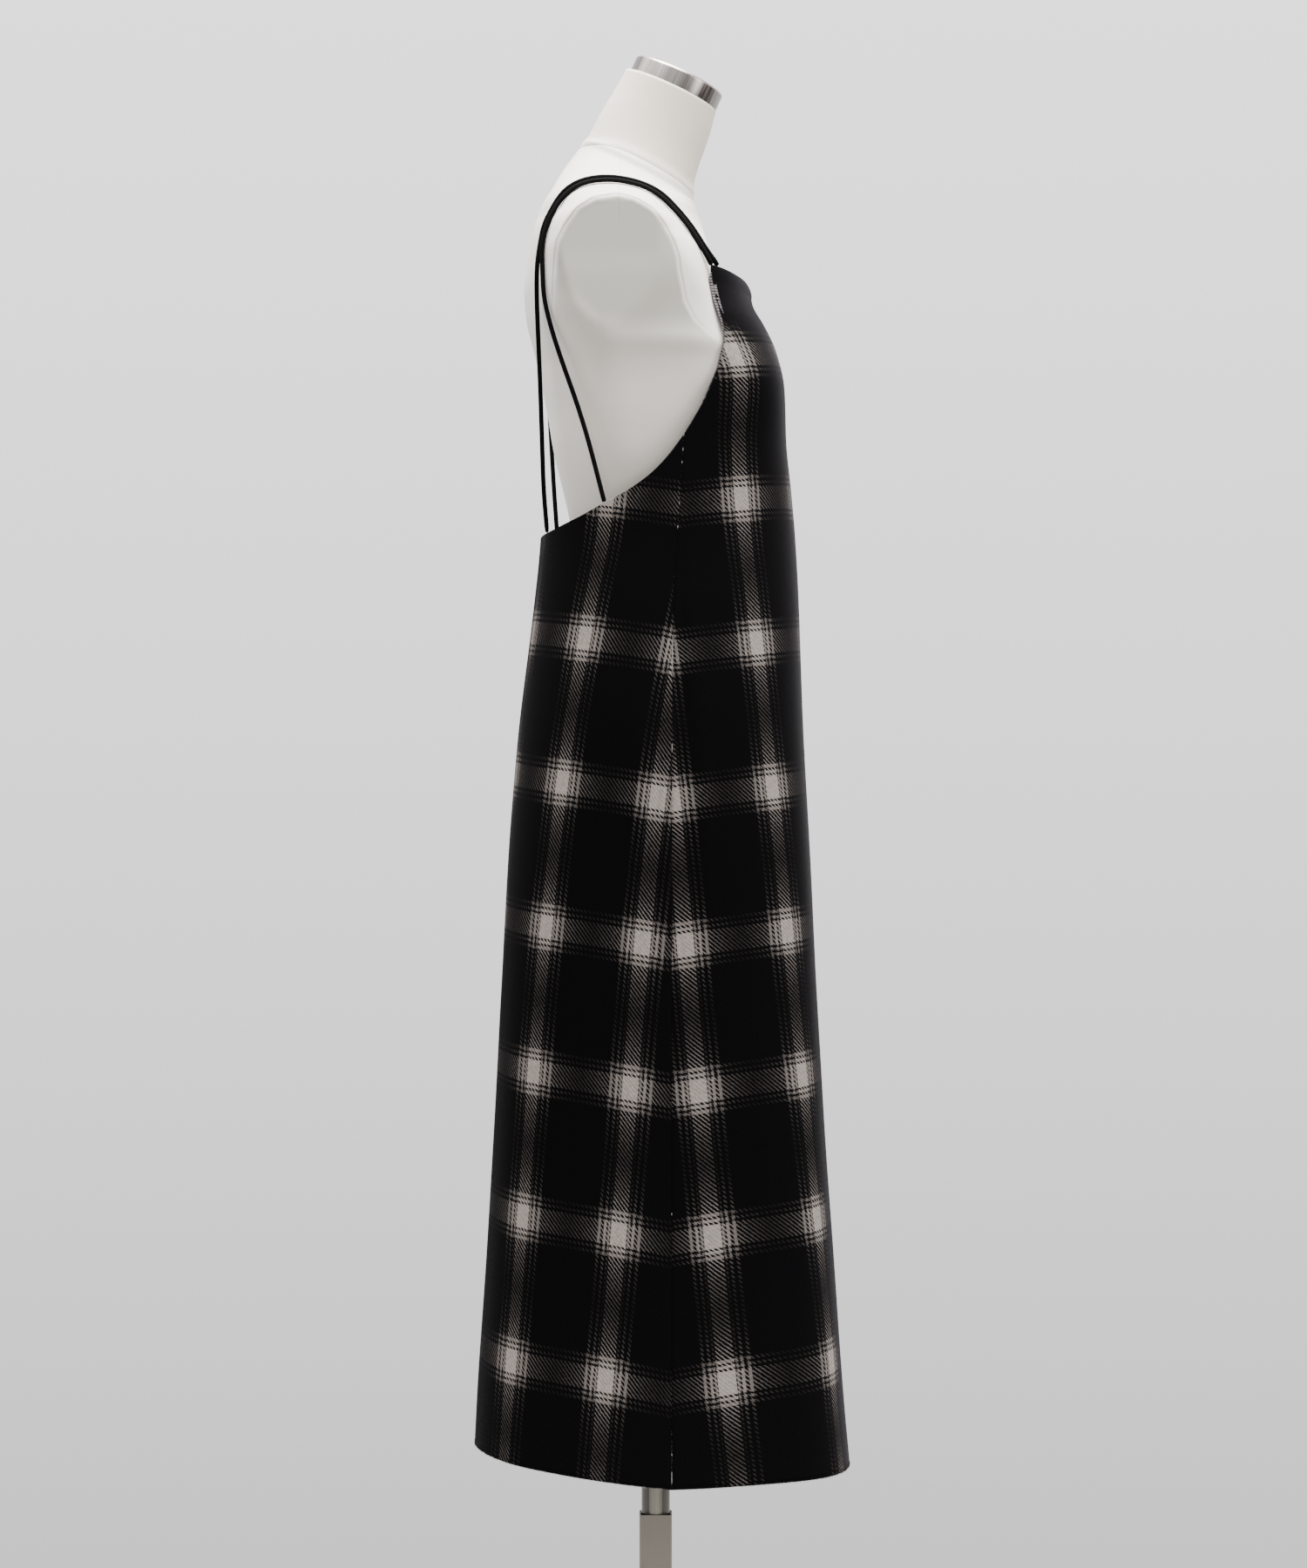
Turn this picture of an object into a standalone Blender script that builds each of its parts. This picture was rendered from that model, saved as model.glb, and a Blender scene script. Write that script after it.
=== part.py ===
"""A camisole dress worn on a limbless dress form with a telescoping stand.

The dress is a front and a back panel of velour cloth with deep armholes, held by two pairs of
cords that run over the shoulders. X runs across the wearer, the wearer's right side at -X.
The front faces -Y. The origin is on the floor under the middle of the base plate.
Tables and sizes are in millimetres and MM turns them into metres.
"""
import math

import bmesh
import bpy
import numpy as np
from mathutils import Vector
from mathutils.bvhtree import BVHTree

MM = 0.001
GAP = 0.3

# Dress cloth
CLOTH_THICK = 2.0
FRONT_SPAN_COLUMNS = 30
BACK_SPAN_COLUMNS = 28
FRONT_LOWER_ROWS = 17
FRONT_UPPER_ROWS = 8
BACK_ROWS = 20
EDGE_STEPS = (0.0, 4.0, 9.0, 14.0, 20.0)
SECTION_SAMPLES = 90
SQUARE_STEP = 0.004
BACK_COLUMN_SPREAD = 1.6

# Level sections of the dress. The powers set how square each half of a section is.
SECTION_COLUMNS = ("height", "half_width", "front", "back", "seam", "front_power", "back_power")
SECTION_ROWS = (
    (240, 199, -192, 181, -14.6, 3.4, 2.8),
    (283, 197, -188, 179, -14.6, 3.4, 2.8),
    (354, 194, -181, 175, -14.6, 3.4, 2.8),
    (475, 189, -172.5, 166.5, -14.6, 3.35, 2.8),
    (596, 185, -164, 159.5, -14.6, 3.25, 2.75),
    (717, 181, -158, 153, -14.6, 3.05, 2.7),
    (839, 177, -153, 145, -15, 2.85, 2.6),
    (961, 173, -147, 133, -15, 2.6, 2.5),
    (1083, 163, -139, 117, -16, 2.5, 2.45),
    (1153, 155, -133, 110, -20, 2.5, 2.4),
    (1197, 152, -129, 108, -23, 2.6, 2.4),
    (1244, 150, -124.5, 107, -26, 2.85, 2.4),
    (1295, 149, -122.5, 107, -29, 3.2, 2.4),
    (1330, 148, -115, 107, -31, 2.7, 2.4),
    (1355, 146, -104, 107, -32, 2.3, 2.4),
    (1373, 144, -94, 107, -32, 2.0, 2.4),
    (1391, 142, -88.5, 107, -32, 1.9, 2.4),
    (1410, 140, -84, 107, -32, 1.9, 2.4),
)

# Soft folds that hang from the bust and shoulder blades. A share is the distance along a panel
# from its middle line to its side seam, negative on the wearer's right.
FOLD_COLUMNS = ("share", "width", "rise", "starts", "full")
FRONT_FOLDS = (
    (0.00, 0.34, -7.0, 1310, 950),
    (-0.50, 0.17, 3.0, 1240, 600),
    (-0.76, 0.13, -4.0, 1120, 500),
    (-1.00, 0.07, -3.0, 1215, 1100),
    (0.47, 0.18, 3.5, 1240, 620),
    (0.74, 0.14, -4.5, 1120, 520),
    (1.00, 0.07, -3.0, 1215, 1100),
)
BACK_FOLDS = (
    (0.04, 0.30, -9.0, 1080, 620),
    (-0.52, 0.18, 4.0, 1060, 560),
    (-0.80, 0.12, -4.0, 1040, 500),
    (-1.00, 0.07, -3.0, 1215, 1100),
    (0.55, 0.17, 4.0, 1060, 540),
    (0.79, 0.13, -4.5, 1040, 520),
    (1.00, 0.07, -3.0, 1215, 1100),
)

# Hem height along each panel from its middle line to the side seam.
HEM_COLUMNS = ("share", "front", "back")
HEM_ROWS = (
    (0.0, 284, 302),
    (0.35, 283, 299),
    (0.6, 281, 291),
    (0.8, 278, 282),
    (1.0, 275, 275),
)

# Front neckline from the centre front to the strap root, then the armhole down to the side seam.
NECKLINE_COLUMNS = ("share", "height")
NECKLINE_ROWS = ((0.0, 1395.5), (0.25, 1396), (0.5, 1397.5), (0.7, 1400), (0.85, 1402))
ARMHOLE_COLUMNS = ("height", "depth")
ARMHOLE_ROWS = (
    (1399, -51.5),
    (1384, -53),
    (1369, -56),
    (1356, -59.6),
    (1342, -62.8),
    (1332, -63.3),
    (1318, -60.5),
    (1304, -56.8),
    (1290, -51),
    (1274, -44),
)
BACK_EDGE_COLUMNS = ("depth", "height")
BACK_EDGE_ROWS = (
    (109, 1152.5),
    (99, 1157.5),
    (75, 1167),
    (48, 1180.5),
    (26, 1192),
    (6, 1206),
    (-10, 1222),
)
SEAM_TOP = 1243.0

# Turned roll along the front neckline: distance below the edge, and how far it stands proud.
ROLL_COLUMNS = ("below", "proud")
ROLL_ROWS = ((0, 0.4), (4, 1.9), (9, 2.2), (14, 0.6), (20, 0.0))
ROLL_AT_STRAP = 0.2
ROLL_FADE = 1.6

# Dress form. The height is taken on the shoulder ridge, and the slope tilts a section up to the back.
RIDGE_DEPTH = 35.0
FORM_COLUMNS = ("height", "slope", "front", "back", "middle", "width_front", "width_back",
                "front_power", "back_power")
FORM_ROWS = (
    (780, 0.0, -58, 78, 8, 122, 122, 2.2, 2.2),
    (784, 0.0, -66, 87, 8, 133, 133, 2.2, 2.2),
    (795, 0.0, -76, 98, 8, 145, 145, 2.2, 2.2),
    (830, 0.0, -88, 112, 8, 158, 158, 2.2, 2.2),
    (880, 0.0, -95, 119, 8, 165, 165, 2.2, 2.2),
    (930, 0.0, -98, 113, 6, 163, 163, 2.2, 2.2),
    (990, 0.0, -95, 96, 2, 151, 151, 2.2, 2.2),
    (1060, 0.0, -86, 78, 0, 130, 130, 2.2, 2.2),
    (1125, 0.0, -78, 74, 0, 117, 117, 2.2, 2.2),
    (1180, 0.0, -86, 84, 3, 122, 122, 2.3, 2.2),
    (1240, 0.0, -97, 98, 10, 136, 136, 2.4, 2.2),
    (1270, 0.0, -102, 103, 15, 146, 146, 2.5, 2.1),
    (1295, 0.0, -102, 108, 20, 156, 157, 2.7, 2.0),
    (1315, 0.0, -98, 112, 24, 167, 174, 2.6, 1.85),
    (1335, 0.0, -88, 117, 28, 183, 202, 2.5, 1.7),
    (1365, 0.0, -71, 124, 33, 178, 240, 3.0, 1.55),
    (1392, 0.0, -58, 126, 35, 175, 250, 3.7, 1.53),
    (1415, 0.0, -53.5, 123, 35, 176, 250, 3.2, 1.62),
    (1432, 0.0, -50.5, 120.5, 35, 188, 238, 2.2, 1.66),
    (1445, 0.0, -47, 118, 35, 205, 222, 1.65, 1.68),
    (1455, 0.0, -44, 115, 35, 192, 197, 1.5, 1.7),
    (1463, 0.02, -41, 111, 35, 168, 168, 1.6, 2.0),
    (1470, 0.05, -39.5, 107, 35, 149, 149, 1.7, 2.15),
    (1477, 0.09, -38, 101, 35, 130, 130, 1.75, 2.2),
    (1485.5, 0.15, -37, 95, 32, 107, 107, 1.8, 2.1),
    (1493, 0.29, -36.5, 87, 27, 86, 86, 1.9, 2.0),
    (1502, 0.39, -36, 79, 22, 68, 68, 2.0, 2.0),
    (1511.8, 0.497, -36, 71, 17.5, 57.5, 57.5, 2.0, 2.0),
    (1517, 0.50, -36.3, 69, 16.4, 56.3, 56.3, 2.0, 2.0),
    (1523, 0.50, -36.2, 65.3, 14.5, 53, 53, 2.0, 2.0),
    (1547, 0.48, -41, 55.2, 7, 48, 48, 2.0, 2.0),
    (1565.5, 0.467, -47, 47, 0, 46.5, 46.5, 2.0, 2.0),
    (1585, 0.46, -52.7, 37.7, -7.5, 46, 46, 2.0, 2.0),
    (1606, 0.46, -57.5, 28.5, -14.5, 46, 46, 2.0, 2.0),
)
FORM_HALF_POINTS = 10
FORM_RING_STEP = 15.0
FORM_SHARP_DEGREES = 32.0
ARM_PLATE_X = 168.0
BUST_X = 84.0
BUST_HEIGHT = 1288.0
BUST_RISE = 22.5
BUST_RADIUS = 46.0

# Neck cap
CAP_RADIUS = 45.0
CAP_HEIGHT = 17.0
CAP_EDGE = 3.5
CAP_DEPTH = -16.5
CAP_SLOPE = 0.46
CAP_EDGE_STEPS = 4
CAP_SEGMENTS = 40

# Straps: two cords on each side. A bearing is the angle seen from the shoulder's hub, from the back.
CORD_RADIUS = 1.9
CORD_CLEARANCE = 1.15
SHOULDER_HUB_DEPTH = 35.0
SHOULDER_HUB_HEIGHT = 1380.0
SHOULDER_BEARINGS = tuple(range(156, 24, -8))
INNER_CORD_X = 123.0
OUTER_CORD_X = 130.9
CORD_ROOT_SHIFT = 2.6
CORD_ROOT_LIFT = 0.9
CORD_POINTS = 46
CORD_ROUTE_STEPS = 16
CORD_STEEPEST = 0.5

# Free part of each cord, from the shoulder blade down to its end on the back neckline.
LEG_COLUMNS = ("across", "depth", "height")
RIGHT_INNER_LEG = (
    (-124, 110.3, 1400),
    (-115, 110.8, 1375),
    (-104, 109.8, 1339),
    (-92, 108.1, 1292),
    (-81, 106.8, 1245),
    (-71, 105.4, 1198),
)
RIGHT_OUTER_LEG = (
    (-131.4, 105.0, 1395),
    (-131.9, 103.6, 1372),
    (-132.5, 97.5, 1345),
    (-133.5, 87, 1312),
    (-135, 73.6, 1274),
    (-136.5, 61.9, 1236),
)
LEFT_INNER_LEG = (
    (124, 110.6, 1400),
    (118, 110.9, 1375),
    (110, 109, 1339),
    (102, 104.5, 1292),
    (93, 101.5, 1245),
    (86, 99, 1205),
)
LEFT_OUTER_LEG = tuple((-across, depth, height) for across, depth, height in RIGHT_OUTER_LEG)

# Where each cord ends on the back neckline: its depth, and its lift above the cloth's edge.
RIGHT_INNER_FOOT = (103.2, 1.5)
LEFT_INNER_FOOT = (96.5, 0.8)
OUTER_FOOT = (48.0, 0.9)

# Stand
BASE_RADIUS = 180.0
BASE_THICK = 8.0
BASE_EDGE = 2.0
BASE_SEGMENTS = 72
SLEEVE_SIDE = 31.0
SLEEVE_WALL = 1.5
SLEEVE_TOP = 223.0
SLEEVE_CORNER = 2.0
SLEEVE_CORNER_STEPS = 3
POLE_RADIUS = 13.5
POLE_BOTTOM = 65.0
POLE_BEVEL = 1.0
FLANGE_RADIUS = 38.0
FLANGE_THICK = 5.0
POLE_SEGMENTS = 40
KNOB_HEIGHT = 192.0
KNOB_RADIUS = 13.0
KNOB_LENGTH = 16.0
KNOB_STEM_RADIUS = 4.0
KNOB_STEM_LENGTH = 9.0
KNOB_LOBES = 6
KNOB_LOBE_DEPTH = 1.4
KNOB_BACK_BEVEL = 1.5
KNOB_FACE_BEVEL = 2.0
KNOB_SEGMENTS = 36


def clear_scene():
    for thing in list(bpy.data.objects):
        bpy.data.objects.remove(thing, do_unlink=True)


def column(columns, rows, name):
    """One named column of a table."""
    place = columns.index(name)
    return np.array([row[place] for row in rows], dtype=float)


def smooth(places, values, at):
    """Value at one place of a curve through the points, with no overshoot between them."""
    order = np.argsort(places)
    x = np.asarray(places, dtype=float)[order]
    y = np.asarray(values, dtype=float)[order]
    at = min(max(at, x[0]), x[-1])
    spans = np.diff(x)
    slopes = np.diff(y) / spans
    tangents = np.zeros(len(x))
    tangents[0] = slopes[0]
    tangents[-1] = slopes[-1]
    for i in range(1, len(x) - 1):
        if slopes[i - 1] * slopes[i] > 0:
            first = 2 * spans[i] + spans[i - 1]
            second = spans[i] + 2 * spans[i - 1]
            tangents[i] = (first + second) / (first / slopes[i - 1] + second / slopes[i])
    i = min(max(int(np.searchsorted(x, at)) - 1, 0), len(spans) - 1)
    t = (at - x[i]) / spans[i]
    rising = y[i] * (1 + 2 * t) * (1 - t) ** 2 + y[i + 1] * t * t * (3 - 2 * t)
    return rising + spans[i] * t * (1 - t) * (tangents[i] * (1 - t) - tangents[i + 1] * t)


def ease(value):
    """Soft step from 0 to 1."""
    value = min(max(value, 0.0), 1.0)
    return value * value * (3 - 2 * value)


def make_material(name, colour, roughness, metallic=0.0):
    material = bpy.data.materials.new(name)
    material.use_nodes = True
    shader = material.node_tree.nodes["Principled BSDF"]
    shader.inputs["Base Color"].default_value = (*colour, 1.0)
    shader.inputs["Roughness"].default_value = roughness
    shader.inputs["Metallic"].default_value = metallic
    return material


def place_mesh(name, points, faces, material, parent, sharp_degrees=35.0):
    """A closed mesh object from points in millimetres, with its faces turned outwards."""
    mesh = bpy.data.meshes.new(name)
    mesh.from_pydata([tuple(float(v) * MM for v in point) for point in points], [], faces)
    work = bmesh.new()
    work.from_mesh(mesh)
    bmesh.ops.recalc_face_normals(work, faces=work.faces)
    work.to_mesh(mesh)
    work.free()
    mesh.shade_smooth()
    mesh.set_sharp_from_angle(angle=math.radians(sharp_degrees))
    mesh.materials.append(material)
    thing = bpy.data.objects.new(name, mesh)
    bpy.context.scene.collection.objects.link(thing)
    thing.parent = parent
    return thing


def section_value(name, height):
    return smooth(column(SECTION_COLUMNS, SECTION_ROWS, "height"),
                  column(SECTION_COLUMNS, SECTION_ROWS, name), height)


def half_section(height, back):
    """Points of one half of a level section, from the middle line to the side seam."""
    width = section_value("half_width", height)
    seam = section_value("seam", height)
    reach = section_value("back" if back else "front", height) - seam
    power = section_value("back_power" if back else "front_power", height)
    turn = np.linspace(0.0, math.pi / 2, SECTION_SAMPLES)
    across = width * np.sin(turn) ** (2 / power)
    depth = seam + reach * np.cos(turn) ** (2 / power)
    length = np.concatenate(([0.0], np.cumsum(np.hypot(np.diff(across), np.diff(depth)))))
    return across, depth, length


class Sections:
    """Keeps each level section, because many points share a height."""

    def __init__(self, back):
        self.back = back
        self.known = {}

    def at(self, height):
        key = round(height, 2)
        if key not in self.known:
            self.known[key] = half_section(key, self.back)
        return self.known[key]

    def place(self, share, height):
        """Across and depth at a share of the panel, before the folds are added."""
        across, depth, length = self.at(height)
        along = min(abs(share), 1.0) * length[-1]
        side = -1.0 if share < 0 else 1.0
        return side * np.interp(along, length, across), np.interp(along, length, depth)

    def share_at_depth(self, depth_wanted, height):
        across, depth, length = self.at(height)
        order = np.argsort(depth)
        return float(np.interp(depth_wanted, depth[order], length[order]) / length[-1])


def fold_rise(folds, share, height):
    """How far the cloth stands out at a place, summed over the panel's folds."""
    rise = 0.0
    for row in folds:
        fold = dict(zip(FOLD_COLUMNS, row))
        off = (share - fold["share"]) / fold["width"]
        grown = ease((fold["starts"] - height) / (fold["starts"] - fold["full"]))
        rise += fold["rise"] * grown * math.exp(-off * off)
    return rise


def folded_place(sections, folds, share, height):
    """Point on the cloth's outer face."""
    low = max(abs(share) - SQUARE_STEP, 0.0)
    high = min(abs(share) + SQUARE_STEP, 1.0)
    side = -1.0 if share < 0 else 1.0
    ahead = np.array(sections.place(side * high, height))
    behind = np.array(sections.place(side * low, height))
    along = (ahead - behind) / np.linalg.norm(ahead - behind)
    turn = side if not sections.back else -side
    outward = np.array((along[1], -along[0])) * turn
    if abs(share) > 1.0 - SQUARE_STEP:
        outward = np.array((side, 0.0))
    if abs(share) < SQUARE_STEP:
        outward = np.array((0.0, 1.0 if sections.back else -1.0))
    flat = np.array(sections.place(share, height))
    across, depth = flat + outward * fold_rise(folds, share, height)
    return np.array((across, depth, height))


def armhole_table(sections):
    """Heights and shares down the armhole, from the strap root to the side seam's top."""
    rows = [(NECKLINE_ROWS[-1][1], NECKLINE_ROWS[-1][0])]
    rows += [(height, sections.share_at_depth(depth, height)) for height, depth in ARMHOLE_ROWS]
    rows.append((SEAM_TOP, 1.0))
    return np.array(rows)


def front_reach(armhole, height):
    """Share at which the front panel ends at a height: its side seam, and above that its armhole."""
    if height <= SEAM_TOP:
        return 1.0
    return float(smooth(armhole[:, 0], armhole[:, 1], height))


def back_edge(sections):
    """Shares and heights along the back's upper edge, from centre back to side seam top."""
    points = [(0.0, BACK_EDGE_ROWS[0][1])]
    for depth, height in BACK_EDGE_ROWS[1:]:
        points.append((sections.share_at_depth(depth, height), height))
    points.append((1.0, SEAM_TOP))
    return points


def along_points(sections, points, fractions):
    """Shares and heights at fractions of the true length of an edge."""
    places = [np.array((*sections.place(share, height), height)) for share, height in points]
    steps = [np.linalg.norm(b - a) for a, b in zip(places, places[1:])]
    length = np.concatenate(([0.0], np.cumsum(steps)))
    shares = [point[0] for point in points]
    heights = [point[1] for point in points]
    result = []
    for fraction in fractions:
        at = fraction * length[-1]
        result.append((smooth(length, shares, at), smooth(length, heights, at)))
    return result


def hem_height(share, side_name):
    shares = column(HEM_COLUMNS, HEM_ROWS, "share")
    return smooth(shares, column(HEM_COLUMNS, HEM_ROWS, side_name), abs(share))


def front_track(armhole, part):
    """Shares and heights down one column of the front, at one part of the panel's reach."""
    side = -1.0 if part < 0 else 1.0
    share_rows = column(NECKLINE_COLUMNS, NECKLINE_ROWS, "share")
    neck_share = abs(part) * NECKLINE_ROWS[-1][0]
    top = smooth(share_rows, column(NECKLINE_COLUMNS, NECKLINE_ROWS, "height"), neck_share)
    heights = [top - step for step in EDGE_STEPS]
    heights += list(np.linspace(heights[-1], SEAM_TOP, FRONT_UPPER_ROWS + 1)[1:])
    heights += list(np.linspace(SEAM_TOP, hem_height(part, "front"), FRONT_LOWER_ROWS + 1)[1:])
    return [(side * abs(part) * front_reach(armhole, height), height) for height in heights]


def back_track(sections, edge, part):
    """Shares and heights down one column of the back, from its edge to its hem."""
    side = -1.0 if part < 0 else 1.0
    top_share, top = along_points(sections, edge, [abs(part)])[0]
    heights = [top - step for step in EDGE_STEPS]
    heights += list(np.linspace(heights[-1], hem_height(part, "back"), BACK_ROWS + 1)[1:])
    track = []
    for height in heights:
        blend = ease(BACK_COLUMN_SPREAD * (top - height) / (top - heights[-1]))
        track.append((side * (top_share + (abs(part) - top_share) * blend), height))
    return track


def panel_grid(back):
    """Outer points of a panel, a list of columns from the wearer's right to the left."""
    sections = Sections(back)
    count = BACK_SPAN_COLUMNS if back else FRONT_SPAN_COLUMNS
    parts = np.linspace(-1, 1, count + 1)
    if back:
        edge = back_edge(sections)
        tracks = [back_track(sections, edge, part) for part in parts]
    else:
        armhole = armhole_table(sections)
        tracks = [front_track(armhole, part) for part in parts]
    folds = BACK_FOLDS if back else FRONT_FOLDS
    grid = np.array([[folded_place(sections, folds, share, height) for share, height in track]
                     for track in tracks])
    return grid, parts


def grid_normals(grid, outward_depth):
    """Unit normals of a grid of points, with the seam columns kept square to the seam."""
    across = np.gradient(grid, axis=0)
    down = np.gradient(grid, axis=1)
    normals = np.cross(across, down)
    normals /= np.linalg.norm(normals, axis=2, keepdims=True)
    middle = normals[grid.shape[0] // 2, grid.shape[1] // 2]
    if middle[1] * outward_depth < 0:
        normals = -normals
    for edge in (0, -1):
        normals[edge, :, 1] = 0.0
        normals[edge] /= np.linalg.norm(normals[edge], axis=1, keepdims=True)
    return normals


def roll_height(below, part):
    """How far the turned neckline stands proud, most at the centre front."""
    heights = column(ROLL_COLUMNS, ROLL_ROWS, "proud")
    profile = smooth(column(ROLL_COLUMNS, ROLL_ROWS, "below"), heights, below)
    return profile * (ROLL_AT_STRAP + (1 - ROLL_AT_STRAP) * (1 - ease(abs(part) * ROLL_FADE)))


def make_panel(name, back, material, parent):
    """One cloth panel: a wall of even thickness whose seam edges stop half a gap from the seam."""
    grid, parts = panel_grid(back)
    normals = grid_normals(grid, 1.0 if back else -1.0)
    inner = grid - normals * CLOTH_THICK
    outer = grid.copy()
    if not back:
        for c, part in enumerate(parts):
            for r, step in enumerate(EDGE_STEPS):
                outer[c, r] += normals[c, r] * roll_height(step, part)
    for layer in (outer, inner):
        for c in range(layer.shape[0]):
            for r in range(layer.shape[1]):
                seam = section_value("seam", layer[c, r, 2])
                limit = seam + GAP / 2 if back else seam - GAP / 2
                layer[c, r, 1] = max(layer[c, r, 1], limit) if back else min(layer[c, r, 1], limit)
    count_c, count_r = grid.shape[:2]
    points = list(outer.reshape(-1, 3)) + list(inner.reshape(-1, 3))
    offset = count_c * count_r

    def at(c, r, layer):
        return layer * offset + c * count_r + r

    faces = []
    for c in range(count_c - 1):
        for r in range(count_r - 1):
            faces.append((at(c, r, 0), at(c, r + 1, 0), at(c + 1, r + 1, 0), at(c + 1, r, 0)))
            faces.append((at(c, r, 1), at(c + 1, r, 1), at(c + 1, r + 1, 1), at(c, r + 1, 1)))
        for r in (0, count_r - 1):
            faces.append((at(c, r, 0), at(c + 1, r, 0), at(c + 1, r, 1), at(c, r, 1)))
    for r in range(count_r - 1):
        for c in (0, count_c - 1):
            faces.append((at(c, r, 0), at(c, r + 1, 0), at(c, r + 1, 1), at(c, r, 1)))
    return place_mesh(name, points, faces, material, parent)


def form_value(name, height):
    heights = column(FORM_COLUMNS, FORM_ROWS, "height")
    return smooth(heights, column(FORM_COLUMNS, FORM_ROWS, name), height)


def bust_rise(across, height):
    """How far the bust stands out of the chest at a place."""
    away = math.hypot(abs(across) - BUST_X, height - BUST_HEIGHT) / BUST_RADIUS
    return BUST_RISE * math.exp(-away * away)


def form_ring(height):
    """Points round one section of the dress form, in order."""
    value = {name: form_value(name, height) for name in FORM_COLUMNS[1:]}
    ring = []
    for half, reach, width, power in (
            ("front", value["front"] - value["middle"], value["width_front"], value["front_power"]),
            ("back", value["back"] - value["middle"], value["width_back"], value["back_power"])):
        steps = np.linspace(-math.pi / 2, math.pi / 2, 2 * FORM_HALF_POINTS + 1)[:-1]
        for turn in steps:
            across = math.copysign(abs(math.sin(turn)) ** (2 / power), turn) * width
            depth = value["middle"] + reach * math.cos(turn) ** (2 / power)
            if half == "back":
                across = -across
            else:
                depth -= bust_rise(across, height)
            ring.append((across, depth, height + (depth - RIDGE_DEPTH) * value["slope"]))
    return ring


def form_heights():
    """Ring heights: every row of the table, with more between rows that lie far apart."""
    rows = column(FORM_COLUMNS, FORM_ROWS, "height")
    heights = []
    for low, high in zip(rows, rows[1:]):
        count = max(1, round((high - low) / FORM_RING_STEP))
        heights += list(np.linspace(low, high, count + 1)[:-1])
    heights.append(rows[-1])
    return heights


def cut_arm_plates(mesh):
    """Cuts the shoulders off flat at each side and closes the cuts."""
    work = bmesh.new()
    work.from_mesh(mesh)
    for side in (-1, 1):
        geometry = list(work.verts) + list(work.edges) + list(work.faces)
        cut = bmesh.ops.bisect_plane(work, geom=geometry, plane_co=(side * ARM_PLATE_X * MM, 0, 0),
                                     plane_no=(side, 0, 0), clear_outer=True, dist=1e-6)
        rim = [piece for piece in cut["geom_cut"] if isinstance(piece, bmesh.types.BMEdge)]
        bmesh.ops.holes_fill(work, edges=rim, sides=0)
    bmesh.ops.remove_doubles(work, verts=work.verts, dist=2e-5)
    bmesh.ops.recalc_face_normals(work, faces=work.faces)
    work.to_mesh(mesh)
    work.free()


def make_form(material, parent):
    """Torso and neck in one closed body with flat arm plates."""
    rings = [form_ring(height) for height in form_heights()]
    count = len(rings[0])
    points = [point for ring in rings for point in ring]
    faces = []
    for r in range(len(rings) - 1):
        for i in range(count):
            j = (i + 1) % count
            faces.append((r * count + i, r * count + j, (r + 1) * count + j, (r + 1) * count + i))
    faces.append(tuple(range(count)))
    faces.append(tuple((len(rings) - 1) * count + i for i in range(count)))
    form = place_mesh("dress_form", points, faces, material, parent)
    cut_arm_plates(form.data)
    form.data.set_sharp_from_angle(angle=math.radians(FORM_SHARP_DEGREES))
    return form


def turned(name, profile, segments, material, parent):
    """A solid of revolution about Z from (radius, height) points, first and last on the axis."""
    work = bmesh.new()
    chain = [work.verts.new((radius * MM, 0.0, height * MM)) for radius, height in profile]
    edges = [work.edges.new(pair) for pair in zip(chain, chain[1:])]
    bmesh.ops.spin(work, geom=chain + edges, cent=(0, 0, 0), axis=(0, 0, 1), angle=2 * math.pi,
                   steps=segments, use_duplicate=False)
    bmesh.ops.remove_doubles(work, verts=work.verts, dist=1e-6)
    bmesh.ops.recalc_face_normals(work, faces=work.faces)
    mesh = bpy.data.meshes.new(name)
    work.to_mesh(mesh)
    work.free()
    mesh.shade_smooth()
    mesh.set_sharp_from_angle(angle=math.radians(30.0))
    mesh.materials.append(material)
    thing = bpy.data.objects.new(name, mesh)
    bpy.context.scene.collection.objects.link(thing)
    thing.parent = parent
    return thing


def make_neck_cap(material, parent):
    """Round metal cap that lies on the slanted top of the neck."""
    profile = [(0, 0), (CAP_RADIUS, 0), (CAP_RADIUS, CAP_HEIGHT - CAP_EDGE)]
    for step in range(1, CAP_EDGE_STEPS + 1):
        turn = step / CAP_EDGE_STEPS * math.pi / 2
        profile.append((CAP_RADIUS - CAP_EDGE * (1 - math.cos(turn)),
                        CAP_HEIGHT - CAP_EDGE * (1 - math.sin(turn))))
    profile.append((0, CAP_HEIGHT))
    cap = turned("neck_cap", profile, CAP_SEGMENTS, material, parent)
    neck_top = FORM_ROWS[-1][0] + (CAP_DEPTH - RIDGE_DEPTH) * CAP_SLOPE
    tilt = math.atan(CAP_SLOPE)
    cap.rotation_euler = (tilt, 0, 0)
    cap.location = (0, CAP_DEPTH * MM, (neck_top + GAP / math.cos(tilt)) * MM)
    return cap


def shoulder_points(form, across):
    """Cord centre points over the shoulder, a cord's radius clear of the form."""
    tree = BVHTree.FromPolygons([v.co.copy() for v in form.data.vertices],
                                [tuple(p.vertices) for p in form.data.polygons])
    hub = Vector((across, SHOULDER_HUB_DEPTH, SHOULDER_HUB_HEIGHT)) * MM
    points = []
    for bearing in SHOULDER_BEARINGS:
        ray = Vector((0, math.cos(math.radians(bearing)), math.sin(math.radians(bearing))))
        hit, normal = tree.ray_cast(hub, ray)[:2]
        flat = Vector((0, normal.y, normal.z)).normalized()
        rise = (CORD_RADIUS + CORD_CLEARANCE) / max(normal.dot(flat), CORD_STEEPEST)
        points.append(hit + flat * rise * MM)
    return points


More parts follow.
